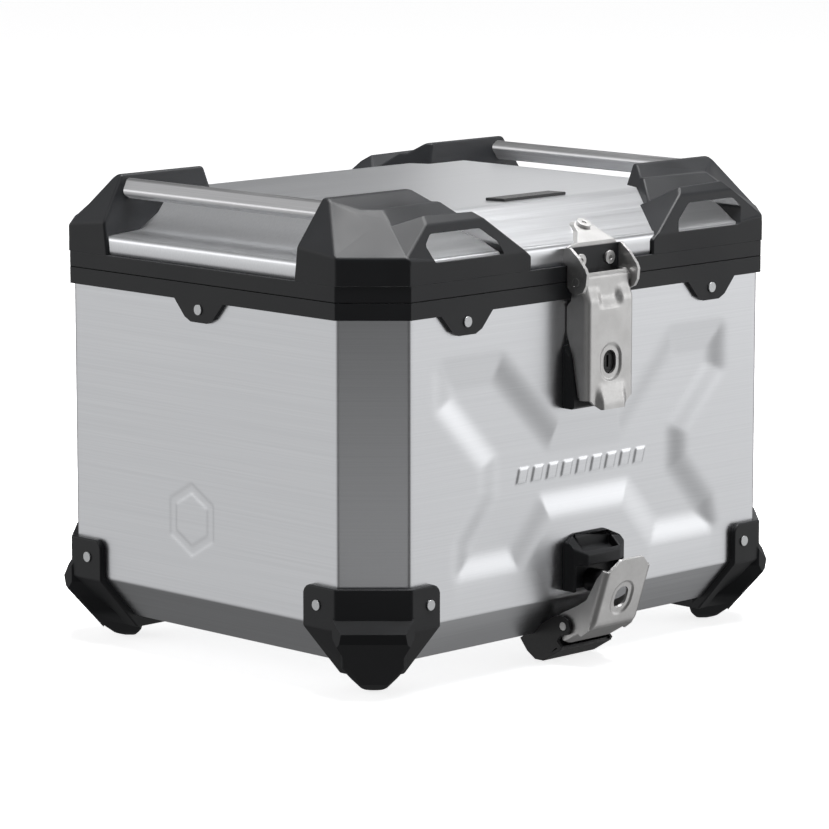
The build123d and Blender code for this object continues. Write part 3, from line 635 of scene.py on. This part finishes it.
def lid_outward(x, y):
    """Outward direction of the lid's edge at (x, y), lengthened at the corners of the outline."""
    sx = 1 if x > 0 else -1
    sy = 1 if y > 0 else -1
    side = abs(abs(x) - (BODY_X - LID_EDGE)) < TOUCH
    front = abs(abs(y) - (BODY_Y - LID_EDGE)) < TOUCH
    slanted = abs(abs(x) + abs(y) - (BODY_X + BODY_Y - CORNER - LID_EDGE * sqrt(2))) < EDGE_NEAR
    if slanted and side:
        return sx, sy * tan(pi / 8)
    if slanted and front:
        return sx * tan(pi / 8), sy
    if slanted:
        return sx * sqrt(0.5), sy * sqrt(0.5)
    return (sx if side else 0.0), (sy if front else 0.0)


def add_skirt(points, faces, loop):
    """Adds the bend round the loop and the skirt below it."""
    previous = loop
    for k in range(1, LID_EDGE_STEPS + 2):
        angle = min(k, LID_EDGE_STEPS) / LID_EDGE_STEPS * pi / 2
        out = LID_EDGE * sin(angle)
        drop = LID_EDGE * (1 - cos(angle))
        ring = []
        for index in loop:
            x, y, z = points[index]
            nx, ny = lid_outward(x, y)
            low = z - drop if k <= LID_EDGE_STEPS else LID_SHEET_LOW
            ring.append(len(points))
            points.append((x + nx * out, y + ny * out, low))
        for i in range(len(loop)):
            j = (i + 1) % len(loop)
            faces.append((previous[i], ring[i], ring[j], previous[j]))
        previous = ring


def make_lid_shell():
    points, faces, loop = lid_surface()
    add_skirt(points, faces, loop)
    bm = bmesh.new()
    made = [bm.verts.new(p) for p in points]
    for face in faces:
        bm.faces.new([made[i] for i in face])
    bmesh.ops.remove_doubles(bm, verts=bm.verts, dist=TOUCH)
    piece = object_from(bm, "lid_sheet")
    thicken(piece, SHEET, -1)
    shade(piece, SHEET_SHARP)
    return dress(piece, "lid", LID_METAL, "brushed_aluminium", "lid_shell")


# ---------------------------------------------------------------- CAD nodes that keep their shape
def keep_node(name, finish, edge):
    """Gives a CAD node its finish and rounds its edges with modifiers only."""
    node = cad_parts[name]
    node.data.materials.clear()
    node.data.materials.append(finish)
    if edge > 0:
        weld = node.modifiers.new("weld", "WELD")
        weld.merge_threshold = TOUCH * MM
        flat = node.modifiers.new("flat", "DECIMATE")
        flat.decimate_type = "DISSOLVE"
        flat.angle_limit = radians(0.5)
        bevel_edges(node, edge, 3, 25)
        keep_flat(node)


# Finish and edge radius of each node.
KEPT = {
    "floor_pan": (WALL_METAL, 0.0),
    "carrier_plate": (WALL_METAL, 0.8),
    "carrier_tongues": (BLACK_STEEL, 0.6),
    "body_rim": (BLACK_PLASTIC, 1.4),
    "rim_gasket": (RUBBER, 0.4),
    "rim_rivets": (RIVET_METAL, 0.25),
    "protector_rivets": (RIVET_METAL, 0.25),
    "hinge_leaves_body": (BLACK_STEEL, 0.3),
    "hinge_leaves_lid": (BLACK_STEEL, 0.3),
    "hinge_pins": (SATIN_STEEL, 0.3),
    "hinge_rivets_body": (RIVET_METAL, 0.25),
    "hinge_rivets_lid": (RIVET_METAL, 0.25),
    "lid_rim": (BLACK_PLASTIC, 1.4),
    "carry_rail_right": (RAIL_METAL, 0.0),
    "carry_rail_left": (RAIL_METAL, 0.0),
    "badge_plate": (BADGE_BLACK, 0.5),
    "lid_latch_bracket": (SATIN_STEEL, 0.3),
    "lid_latch_spacer": (BLACK_PLASTIC, 0.5),
    "lid_latch_screws": (SATIN_STEEL, 0.3),
    "lid_latch_pin": (SATIN_STEEL, 0.3),
    "lid_latch_base": (BLACK_PLASTIC, 0.8),
    "lid_lock_cylinder": (BLACK_STEEL, 0.3),
    "lid_lock_plug": (BLACK_STEEL, 0.3),
    "lid_latch_backing": (SATIN_STEEL, 0.3),
    "mount_latch_housing": (BLACK_PLASTIC, 1.1),
    "mount_claw": (BLACK_STEEL, 0.7),
    "mount_lever_pin": (SATIN_STEEL, 0.3),
    "mount_lock_cylinder": (BLACK_STEEL, 0.3),
    "mount_lock_plug": (BLACK_STEEL, 0.3),
    "mount_latch_backing": (SATIN_STEEL, 0.3),
}


def keep_nodes():
    for name, (finish, edge) in KEPT.items():
        keep_node(name, finish, edge)


# ---------------------------------------------------------------- pieces at the four corners
CORNERS = ("rear_right", "rear_left", "front_right", "front_left")
MOULDED_SHARP = 35               # degrees above which an edge of the moulded pieces stays sharp


def at_corners(first, body, name, node):
    """Places a rear right piece at all four corners by mirroring it."""
    placed = []
    for corner in CORNERS:
        across_x = corner.endswith("left")
        across_y = corner.startswith("front")
        piece = first
        if across_x or across_y:
            piece = mirrored(first, name + corner, across_x, across_y)
        shade(piece, MOULDED_SHARP)
        keep_flat(piece)
        dress(piece, body, BLACK_PLASTIC, "black_plastic", node + corner)
        placed.append(piece)
    return placed


# ---------------------------------------------------------------- corner caps, drawn at the rear right
CAP_LOW = LID_RIM_TOP - 6        # the caps start below the rim's top and are cut back to it
FORM_LOW = 240.0                 # the form that cuts their inner faces starts well below them
CROWN_X = 176.0                  # and its raised middle reaches a little past the foot of the lid's walls
WINDOW_ROUND = 2.0


def cap_sides(y_low, top):
    """Planes that the fin and the middle of a cap share."""
    return block(50, CAP_X, y_low, CAP_Y, CAP_LOW, top) + [
        (CORNER_SIDE, (1, 1, 0)),  # cut corner
        (KNEE_CORNER, SIDE_LEAN),  # slope above the side
        (INNER_FOOT, INNER_LEAN),  # end on the rear bevel
    ]


def cap_fin_planes():
    """Tall part along the case's side, whose end face the rail runs into."""
    return cap_sides(CAP_END_Y - 2, RIDGE_Z) + [
        (KNEE_CORNER, BROAD_LEAN),  # broad facet towards the corner
        ((0, RIDGE_Y, RIDGE_Z), (0, 8, 12)),  # fall from the ridge to the rear
        ((0, CAP_END_Y, LID_RIM_TOP), CAP_END_LEAN),  # face that the rail meets
    ]


def cap_middle_planes():
    """Lower part with the slanted corner face and the long slope to the rear."""
    return cap_sides(RIDGE_Y, TIER_Z) + [
        (KNEE_CORNER, CORNER_LEAN),  # slanted corner
        ((158.0, TIER_Y, TIER_Z), (-0.06, 0.593, 0.80)),  # long slope behind the tier
        ((0, CAP_Y, KNEE_Z), (0, 5.0, 7.5)),  # slope above the rear
    ]


def cap_loop_planes():
    """Raised loop that a strap passes through."""
    return block(60, 175, 130, CAP_Y, CAP_LOW, 320) + [
        (LOOP_RIDGE, (0.523, 0.343, 0.780)),  # towards the corner
        (LOOP_RIDGE, (-0.03, -0.51, 0.86)),  # towards the lid
        (LOOP_RIDGE, (0, 5.7, 7.0)),  # down to the rear
        ((0, 158.0, 312.3), (0, 23.8, 8.4)),  # steep rear
        ((103.0, 152.8, 317.5), (-0.60, 0.03, 0.80)),  # down to the inner end
    ]


def strap_window_planes():
    """Hexagonal opening of the loop, seen from the rear."""
    planes = [((0, 130, 0), (0, -1, 0)), ((0, CAP_Y + 9, 0), (0, 1, 0))]
    for (ax, az), (bx, bz) in zip(WINDOW, WINDOW[1:] + WINDOW[:1]):
        planes.append(((ax, 0, az), (bz - az, 0, ax - bx)))
    return planes


def lid_form():
    """Block with the lid's outside shape, to cut the caps' inner faces."""
    rise = LID_TOP - LEDGE_Z
    bevels = [((0, sy * BODY_Y, LEDGE_Z), (0, sy * rise, BODY_Y - PANEL_Y)) for sy in (-1, 1)]
    base = block(-BODY_X, BODY_X, -BODY_Y, BODY_Y, FORM_LOW, LID_TOP) + bevels
    base += [((sx * (BODY_X - CORNER), sy * BODY_Y, 0), (sx, sy, 0)) for sx in (-1, 1) for sy in (-1, 1)]
    base += [((sx * BODY_X, 0, LEDGE_Z), (sx * LEDGE_SLOPE, 0, 1)) for sx in (-1, 1)]
    crown = block(-CROWN_X, CROWN_X, -BODY_Y, BODY_Y, FORM_LOW, LID_TOP) + bevels
    crown += [((sx * PANEL_X, 0, LID_TOP), (sx * WALL_SLOPE, 0, 1)) for sx in (-1, 1)]
    middle = (rise + PANEL_X * WALL_SLOPE - BODY_X * LEDGE_SLOPE) / (WALL_SLOPE - LEDGE_SLOPE)
    half = LID_SOFTNESS / (WALL_SLOPE - LEDGE_SLOPE)
    high = LID_TOP - (middle - half - PANEL_X) * WALL_SLOPE
    low = LEDGE_Z + (BODY_X - middle - half) * LEDGE_SLOPE
    fillet = block(-middle - half, middle + half, -BODY_Y, BODY_Y, FORM_LOW, high) + bevels
    fillet += [((sx * (middle + half), 0, low), (sx * (high - low), 0, 2 * half)) for sx in (-1, 1)]
    form = object_from(convex_solid(base), "lid_base_cut")
    for planes in (crown, fillet):
        form = combined(form, object_from(convex_solid(planes), "lid_cut"), "UNION")
    return form


def rounded_block(planes, radius, name):
    return object_from(round_edges(convex_solid(planes), radius), name)


def make_caps():
    cap = rounded_block(cap_fin_planes(), CAP_ROUND, "corner_cap_piece_rear_right")
    cap = combined(cap, rounded_block(cap_middle_planes(), CAP_ROUND, "middle"), "UNION")
    cap = combined(cap, rounded_block(cap_loop_planes(), CAP_ROUND, "loop"), "UNION")
    cap = combined(cap, rounded_block(strap_window_planes(), WINDOW_ROUND, "window"), "DIFFERENCE")
    under = object_from(convex_solid(block(0, FAR, 0, FAR, 0, LID_RIM_TOP)), "under")
    cap = combined(cap, under, "DIFFERENCE")
    cap = combined(cap, lid_form(), "DIFFERENCE")
    for piece in at_corners(cap, "lid", "corner_cap_piece_", "corner_cap_"):
        # Reflections leave the caps out, or the metal in the strap windows would mirror their dark inside.
        piece.visible_glossy = False


# ---------------------------------------------------------------- corner protectors, drawn at the rear right
GUARD = 4.5                      # wall of the protectors
GUARD_X = 147.0                  # ends of the wings
GUARD_Y = 101.5
GUARD_TOP = 75.5
GUARD_LOW = 9.7
GUARD_ROUND = 7.0                # radius of the wings' upper corners
GUARD_TURNS = (radians(22.5), radians(45), radians(67.5))
INSIDE_TOP = 90.0                # top of the form that cuts the protectors' inner faces
# The nose and foot are given by runs of (out of the cut corner, z) and (along it, z).
NOSE_HALF = 27.0                 # half width of the raised nose
NOSE_REAR = -16.0
NOSE_LOW = 7.0
NOSE_TOP = 60.0
FOOT_TOP = 34.0
NOSE_SIDE = [(4.5, 54.5), (10.3, 46.5), (9.0, 39.5), (-14.0, 9.5)]
NOSE_FRONT = [(27.0, 43.0), (9.0, 7.0)]
FOOT_SIDE = [(5.0, 36.0), (-14.0, 10.5), (-24.0, 2.0), (-31.0, 0.0), (-38.0, 0.0), (-43.0, 6.0),
             (-43.0, 30.0)]
FOOT_FRONT = [(21.5, 20.0), (16.0, 12.5), (8.0, 2.0), (4.5, 0.0)]


def body_planes(grow):
    """Planes of the body's corner and its bevel, grown outward."""
    drop = CREASE_Z - FLOOR_Z
    corner_side = ((BODY_X - CORNER, BODY_Y), (sqrt(0.5), sqrt(0.5)))
    sides = (((BODY_X, 0), (1, 0)), ((0, BODY_Y), (0, 1)), corner_side)
    planes = []
    for (x, y), (nx, ny) in sides:
        wall = np.array([nx, ny, 0.0])
        slope = np.array([nx * drop, ny * drop, -BEVEL_IN]) / np.hypot(drop, BEVEL_IN)
        planes.append((np.array([x, y, CREASE_Z]) + grow * wall, wall))
        planes.append((np.array([x, y, CREASE_Z]) + grow * slope, slope))
    return planes


def corner_point(out, along, z):
    """Point at a distance out of the cut corner, along it from its middle, and up."""
    middle_x = BODY_X - CORNER / 2
    middle_y = BODY_Y - CORNER / 2
    return (middle_x + sqrt(0.5) * (out + along), middle_y + sqrt(0.5) * (out - along), z)


def corner_vector(out, along, z):
    return (sqrt(0.5) * (out + along), sqrt(0.5) * (out - along), z)


def side_planes(run):
    """Planes along a falling run of (out, z) points."""
    planes = []
    for (out, z), (next_out, next_z) in zip(run, run[1:]):
        planes.append((corner_point(out, 0, z), corner_vector(z - next_z, 0, next_out - out)))
    return planes


def both_sides(run):
    """Pairs of planes along a falling run of (along, z) points and its mirror image."""
    planes = []
    for (along, z), (next_along, next_z) in zip(run, run[1:]):
        for side in (-1, 1):
            lean = corner_vector(0, side * (z - next_z), next_along - along)
            planes.append((corner_point(0, side * along, z), lean))
    return planes


def level_planes(low, high):
    """Flat underside and top of a solid; None leaves one out."""
    planes = [] if high is None else [((0, 0, high), (0, 0, 1))]
    return planes if low is None else planes + [((0, 0, low), (0, 0, -1))]


def guard_skin():
    planes = body_planes(GUARD)
    planes += level_planes(GUARD_LOW, GUARD_TOP)
    planes += [((GUARD_X, 0, 0), (-1, 0, 0)), ((0, GUARD_Y, 0), (0, -1, 0))]
    high = GUARD_TOP - GUARD_ROUND
    for turn in GUARD_TURNS:
        back = GUARD_ROUND * cos(turn)
        up = GUARD_ROUND * sin(turn)
        planes.append(((GUARD_X + GUARD_ROUND - back, 0, high + up), (-cos(turn), 0, sin(turn))))
        planes.append(((0, GUARD_Y + GUARD_ROUND - back, high + up), (0, -cos(turn), sin(turn))))
    return object_from(round_edges(convex_solid(planes), 1.2, 3, 30), "protector_piece_rear_right")


def guard_nose():
    planes = side_planes(NOSE_SIDE) + both_sides(NOSE_FRONT)
    planes.append((corner_point(NOSE_REAR, 0, 0), corner_vector(-1, 0, 0)))
    planes += level_planes(NOSE_LOW, NOSE_TOP)
    for side in (-1, 1):
        planes.append((corner_point(0, side * NOSE_HALF, 0), corner_vector(0, side, 0)))
        planes.append((corner_point(GUARD, side * NOSE_HALF, 0), corner_vector(1, side, 0)))
    return object_from(round_edges(convex_solid(planes), 1.6, 3), "nose")


def guard_foot():
    planes = side_planes(FOOT_SIDE) + both_sides(FOOT_FRONT)
    planes += level_planes(None, FOOT_TOP)
    for side in (-1, 1):
        planes.append((corner_point(0, side * FOOT_FRONT[0][0], 0), corner_vector(0, side, 0)))
    return object_from(round_edges(convex_solid(planes), 2.0, 3, 20), "foot")


def make_protectors():
    guard = combined(guard_skin(), guard_nose(), "UNION")
    guard = combined(guard, guard_foot(), "UNION")
    inside = body_planes(0) + level_planes(FLOOR_Z, INSIDE_TOP)
    inside += [((0, 0, 0), (-1, 0, 0)), ((0, 0, 0), (0, -1, 0))]
    guard = combined(guard, object_from(convex_solid(inside), "inside"), "DIFFERENCE")
    at_corners(guard, "case", "protector_piece_", "protector_")


# ---------------------------------------------------------------- both levers, and the upper one
LEVER_SHEET = 2.0
LEVER_BEND = 4.0
UPPER_HALF = 23.4
LOWER_HALF = 22.5
LEVER_FACE = -183.2              # front of the upper lever below its shoulder
LEVER_STEP = 3.2                 # the shoulder sets the top of the lever back by this much
LEVER_TOP = 270.3
LEVER_KNEE = 186.0               # the corners of the lever's end are cut below this height
LEVER_CORNER = 184.4
LEVER_FOOT = 177.6
LEVER_CUT = (12.0, 20.0)         # the cut corners start and end this far from the middle
# Soft steps of the upper lever's face, each as (start, length).
SIDE_SHOULDER = (262.0, 12.0)
MIDDLE_SHOULDER = (255.0, 11.0)
MIDDLE_BORDER = (6.0, 7.0)
FOOT_STEP = (197.0, 17.0)
FOOT_BORDER = (9.5, 6.5)
FOOT_DEPTH = 3.4
CURL_STEP = (267.0, 5.0)
CURL_DEPTH = 3.0
# (z, y) of the rear edge of the upper lever's flanges.
LEVER_REAR = ((184.4, -176.0), (187.0, -174.4), (214.0, -169.4), (230.0, -164.2), (247.0, -164.2),
              (251.0, -168.0), (272.0, -170.5))
LEAST_FLANGE = 0.2
CUT_SHARP = 50                   # degrees above which an edge of the levers stays sharp
FACE_POINTS = 61                 # points across the face of a lever
FLANGE_STEPS = 6
KEY_Z = 209.0
KEY_HALF = 6.2                   # half width of the key holes
KEY_TALL = 8.1                   # half height of the key holes
OVAL_STEPS = 24
DISH = 9.8                       # half width of the pressed dish round a key hole
DISH_TALL = 12.4
DISH_DEPTH = 1.1
DISH_EDGE = 1.6


def stadium_distance(x, z, half, tall):
    """Distance outside an upright oval with straight sides, negative inside."""
    return np.hypot(x, np.maximum(np.abs(z) - (tall - half), 0.0)) - half


def stadium_prism(z, half, tall, y_low, y_high):
    """Upright oval bar along Y."""
    outline = []
    for k in range(OVAL_STEPS + 1):
        angle = pi * k / OVAL_STEPS
        outline.append((half * cos(angle), y_low, z + tall - half + half * sin(angle)))
    for k in range(OVAL_STEPS + 1):
        angle = pi + pi * k / OVAL_STEPS
        outline.append((half * cos(angle), y_low, z - tall + half + half * sin(angle)))
    return extruded(outline, (0, y_high - y_low, 0))


def dish(x, z):
    """How far the dish round a key hole is pressed in."""
    return DISH_DEPTH * smooth_step(0.5 - stadium_distance(x, z, DISH, DISH_TALL) / DISH_EDGE)


def rise(value, step):
    """0 up to the start of a (start, length) step, 1 from its end."""
    start, length = step
    return smooth_step((value - start) / length)


def fall(value, step):
    """0 down to the start of a (start, length) step, 1 once the value is length below it."""
    start, length = step
    return smooth_step((start - value) / length)


def lever_face(x, z):
    """Y of the upper lever's front at (x, z)."""
    side = rise(np.abs(x), MIDDLE_BORDER)
    out = LEVER_STEP * (side * fall(z, SIDE_SHOULDER) + (1 - side) * fall(z, MIDDLE_SHOULDER))
    foot = fall(z, FOOT_STEP) * (1 - rise(np.abs(x), FOOT_BORDER))
    curl = CURL_DEPTH * rise(z, CURL_STEP)
    return LEVER_FACE + LEVER_STEP - out - FOOT_DEPTH * foot + dish(x, z - KEY_Z) + curl


def lever_rear(z):
    """Y of the rear edge of the upper lever's flanges."""
    return np.interp(z, *zip(*LEVER_REAR))


def bent_rows(half, levels, place, rear):
    """Rows of a U-shaped sheet: left flange, bend, face, bend, right flange.

    place(x, level) gives the depth of the face and rear(level) that of the flanges' rear edges."""
    rows = []
    flat = half - LEVER_BEND
    across = np.linspace(-flat, flat, FACE_POINTS)
    shares = np.linspace(0, 1, FLANGE_STEPS, endpoint=False)
    angles = np.linspace(0, pi / 2, BEND_STEPS, endpoint=False)
    for level in levels:
        edge = place(np.array([-flat]), level)[0] + LEVER_BEND
        back = max(rear(level), edge + LEAST_FLANGE)
        flange = [(-half, back + (edge - back) * share, level) for share in shares]
        for angle in angles:
            flange.append((-flat - LEVER_BEND * cos(angle), edge - LEVER_BEND * sin(angle), level))
        face = [(x, depth, level) for x, depth in zip(across, place(across, level))]
        rows.append(flange + face + [(-x, depth, level) for x, depth, _ in reversed(flange)])
    return rows


def make_lid_lever():
    levels = runs((LEVER_TOP, 245, -0.9), (245, 224, -3.0), (224, 194, -0.75), (194, LEVER_KNEE, -1.2))
    levels = np.concatenate([levels, np.linspace(LEVER_KNEE, LEVER_FOOT, 9)])
    rows = bent_rows(UPPER_HALF, levels, lever_face, lever_rear)
    points = []
    for row in rows:
        for x, y, z in row:
            low = np.interp(abs(x), LEVER_CUT, [LEVER_FOOT, LEVER_CORNER])
            if z < LEVER_KNEE:
                z = LEVER_KNEE + (z - LEVER_KNEE) * (LEVER_KNEE - low) / (LEVER_KNEE - LEVER_FOOT)
            points.append((x, y, z))
    piece = new_object("upper_lever_sheet", points, loft(rows, False)[1])
    finish_sheet(piece)
    key = stadium_prism(KEY_Z, KEY_HALF, KEY_TALL, -200, -170)
    combined(piece, object_from(key, "key_cut"), "DIFFERENCE")
    soften(piece, 0.35)
    return dress(piece, "lid_lever", SATIN_STEEL, "satin_steel", "lid_latch_lever")


def finish_sheet(piece):
    """Gives a lever's sheet its thickness as real faces."""
    thicken(piece, LEVER_SHEET, 1).use_even_offset = True
    piece.data = applied(piece)
    piece.modifiers.clear()


def soften(piece, width):
    """Rounds the cut edges of a finished sheet."""
    shade(piece, CUT_SHARP)
    bevel_edges(piece, width, 2, CUT_SHARP)
    keep_flat(piece)


# ---------------------------------------------------------------- lower latch lever
# It is drawn upright and then leaned: its own Y is the depth behind the face, its own Z runs up the face.
MOUNT_LOW = (-189.6, 32.7)       # (y, z) of the face's lower end
MOUNT_LEAN = (-0.319, 0.948)     # (y, z) direction up the face
MOUNT_TALL = 46.7
MOUNT_KNEE = 31.0                # the corners of the lever's end are cut above this
MOUNT_END = -23.2                # end of the curled part under the face
# Upper edge of the face with its cut corners, as (from the middle, up).
MOUNT_CUT = ((11.0, MOUNT_TALL), (20.0, 38.4), (LOWER_HALF, 38.4))
MOUNT_KEY = 16.9
# Curl under the face, as (down, depth), and rear edge of the flanges, as (up, depth).
MOUNT_CURL = ((0.0, 0.0), (2.5, 0.5), (5.5, 1.9), (8.1, 4.0), (23.2, 17.1))
MOUNT_REAR = ((MOUNT_END, 22.0), (-16.0, 27.0), (-6.0, 27.0), (12.8, 11.3), (39.6, 5.6), (47.0, 4.4))
MOUNT_PIVOT = (-164.0, 28.0)
ARM_RADIUS = 9.0
ARM_POINTS = 19
ARM_START = 70                   # degrees
ARM_TURN = 13
# (y, z) of the arm's end that reaches up to the face.
ARM_TIP = ((-178.0, 22.4), (-183.6, 26.6), (-186.5, 31.5), (-184.5, 40.0), (-181.0, 46.5))


def leaned(x, depth, up):
    y = MOUNT_LOW[0] + MOUNT_LEAN[0] * up + MOUNT_LEAN[1] * depth
    z = MOUNT_LOW[1] + MOUNT_LEAN[1] * up - MOUNT_LEAN[0] * depth
    return x, y, z


def mount_face(x, up):
    """Depth of the lower lever's face, curled under at its lower end."""
    return np.zeros(np.shape(x)) + np.interp(-up, *zip(*MOUNT_CURL)) + dish(x, up - MOUNT_KEY)


def mount_rear(up):
    return float(np.interp(up, *zip(*MOUNT_REAR)))


def make_mount_lever():
    top_levels = np.linspace(MOUNT_TALL, MOUNT_KNEE, 12)
    low_levels = np.linspace(-9, MOUNT_END, 8)
    levels = np.concatenate([top_levels, runs((30.5, 3, -0.75), (3, -9, -0.8)), low_levels])
    rows = bent_rows(LOWER_HALF, levels, mount_face, mount_rear)
    points = []
    for row in rows:
        for x, depth, up in row:
            top = np.interp(abs(x), *zip(*MOUNT_CUT))
            if up > MOUNT_KNEE:
                up = MOUNT_KNEE + (up - MOUNT_KNEE) * (top - MOUNT_KNEE) / (MOUNT_TALL - MOUNT_KNEE)
            points.append(leaned(x, depth, up))
    piece = new_object("lower_lever_sheet", points, loft(rows, False)[1])
    finish_sheet(piece)
    key = stadium_prism(MOUNT_KEY, KEY_HALF, KEY_TALL, -8, 8)
    for v in key.verts:
        v.co = leaned(*v.co)
    combined(piece, object_from(key, "key_cut"), "DIFFERENCE")
    for side in (-1, 1):
        combined(piece, object_from(lever_arm(side), "arm"), "UNION")
    soften(piece, 0.4)
    return dress(piece, "mount_lever", SATIN_STEEL, "satin_steel", "mount_latch_lever")


def lever_arm(side):
    """Flange end of the lower lever round its pivot, as a plate."""
    y, z = MOUNT_PIVOT
    outer = side * LOWER_HALF
    inner = side * (LOWER_HALF - LEVER_SHEET)
    angles = [radians(ARM_START - k * ARM_TURN) for k in range(ARM_POINTS)]
    outline = [(outer, y + ARM_RADIUS * cos(angle), z + ARM_RADIUS * sin(angle)) for angle in angles]
    outline += [(outer, *point) for point in ARM_TIP]
    return extruded(outline, (inner - outer, 0, 0))


# ---------------------------------------------------------------- stage, lights, camera
CAMERA_AT = (-2.1354, -2.12455, 0.6488)
CAMERA_TURN = (80.66, 0.0, -44.9)
LENS = 188.66
SENSOR = 36.0
FLOOR_HALF = 40.0
FLOOR_GLOW = 0.81
STUDIO_BASE = 0.09
LIGHTS = {                       # place, aim, width, height and power
    "right softbox": ((2.6, -1.9, 0.8), (0.1, 0, 0.15), 2.0, 1.4, 8.5),
    "left softbox": ((-1.2, 1.2, 0.65), (-0.1, 0.05, 0.25), 1.0, 0.6, 1.7),
    "back softbox": ((1.75, 0.77, 0.7), (1.05, 0.07, 0.5), 1.4, 0.9, 2.3),
    "top softbox": ((0.3, -0.2, 2.4), (0, 0, 0.1), 1.6, 1.6, 94),
    "floor glow": ((-0.72, -0.70, -0.02), (-0.72, -0.70, 1), 0.8, 0.8, 0.6),
}
GLOWS = [                        # direction, cosine where the glow begins, and strength
    ((-0.72, 0.70, -0.05), 0.60, 0.60),
    ((0.80, -0.60, 0.03), 0.77, 0.78),
    ((0.62, -0.40, -0.68), 0.86, 0.60),
    ((0, 0, -1), 0.30, 0.10),
    ((-0.5, 0.6, 0.6), 0.70, 0.25),
]


def make_camera():
    data = bpy.data.cameras.new("view")
    data.lens = LENS
    data.sensor_width = SENSOR
    camera = bpy.data.objects.new("view", data)
    camera.location = CAMERA_AT
    camera.rotation_euler = [radians(a) for a in CAMERA_TURN]
    bpy.context.scene.collection.objects.link(camera)
    bpy.context.scene.camera = camera


def make_floor():
    side = FLOOR_HALF
    mesh = bpy.data.meshes.new("floor")
    corners = [(-side, -side, 0), (side, -side, 0), (side, side, 0), (-side, side, 0)]
    mesh.from_pydata(corners, [], [(0, 1, 2, 3)])
    floor = bpy.data.objects.new("floor", mesh)
    bpy.context.scene.collection.objects.link(floor)
    paper = material("floor paper", (0.86, 0.86, 0.87), metallic=0.0, roughness=0.75)
    fibres = noise(paper, detail=3.0, size=300)
    vary_roughness(paper, fibres, low=0.7, high=0.8)
    shader = paper.node_tree.nodes["Principled BSDF"]
    shader.inputs["Emission Color"].default_value = (1, 1, 1, 1)
    shader.inputs["Emission Strength"].default_value = FLOOR_GLOW
    floor.data.materials.append(paper)
    floor.visible_glossy = False
    floor.visible_diffuse = False
    floor.visible_shadow = False


def make_lights():
    for name, (place, aim, width, height, power) in LIGHTS.items():
        data = bpy.data.lights.new(name, "AREA")
        data.shape = "RECTANGLE"
        data.size = width
        data.size_y = height
        data.energy = power
        light = bpy.data.objects.new(name, data)
        light.location = place
        light.rotation_euler = (Vector(aim) - Vector(place)).to_track_quat("-Z", "Y").to_euler()
        bpy.context.scene.collection.objects.link(light)


def add_glow(world, sum_so_far, direction, start, strength):
    """Adds a soft patch of light round a direction; start is the cosine where it begins."""
    nodes = world.node_tree.nodes
    links = world.node_tree.links
    place = nodes.new("ShaderNodeTexCoord")
    along = nodes.new("ShaderNodeVectorMath")
    along.operation = "DOT_PRODUCT"
    along.inputs[1].default_value = Vector(direction).normalized()
    fade = nodes.new("ShaderNodeMapRange")
    fade.interpolation_type = "SMOOTHSTEP"
    fade.inputs["From Min"].default_value = start
    fade.inputs["From Max"].default_value = 1.0
    fade.inputs["To Max"].default_value = strength
    links.new(place.outputs["Generated"], along.inputs[0])
    links.new(along.outputs["Value"], fade.inputs["Value"])
    if sum_so_far is None:
        return fade.outputs["Result"]
    both = nodes.new("ShaderNodeMath")
    both.operation = "ADD"
    links.new(sum_so_far, both.inputs[0])
    links.new(fade.outputs["Result"], both.inputs[1])
    return both.outputs["Value"]


def make_world():
    """Dim studio with soft patches of light to the left, right and below; dark behind the camera."""
    world = bpy.data.worlds.new("studio")
    world.use_nodes = True
    total = None
    for direction, start, strength in GLOWS:
        total = add_glow(world, total, direction, start, strength)
    nodes = world.node_tree.nodes
    base = nodes.new("ShaderNodeMath")
    base.operation = "ADD"
    base.inputs[1].default_value = STUDIO_BASE
    world.node_tree.links.new(total, base.inputs[0])
    world.node_tree.links.new(base.outputs["Value"], nodes["Background"].inputs["Color"])
    nodes["Background"].inputs["Strength"].default_value = 1.0
    bpy.context.scene.world = world
    bpy.context.scene.view_settings.view_transform = "Standard"


# ---------------------------------------------------------------- the scene
make_body_shell()
make_lid_shell()
keep_nodes()
make_caps()
make_protectors()
make_lid_lever()
make_mount_lever()
make_camera()
make_floor()
make_lights()
make_world()
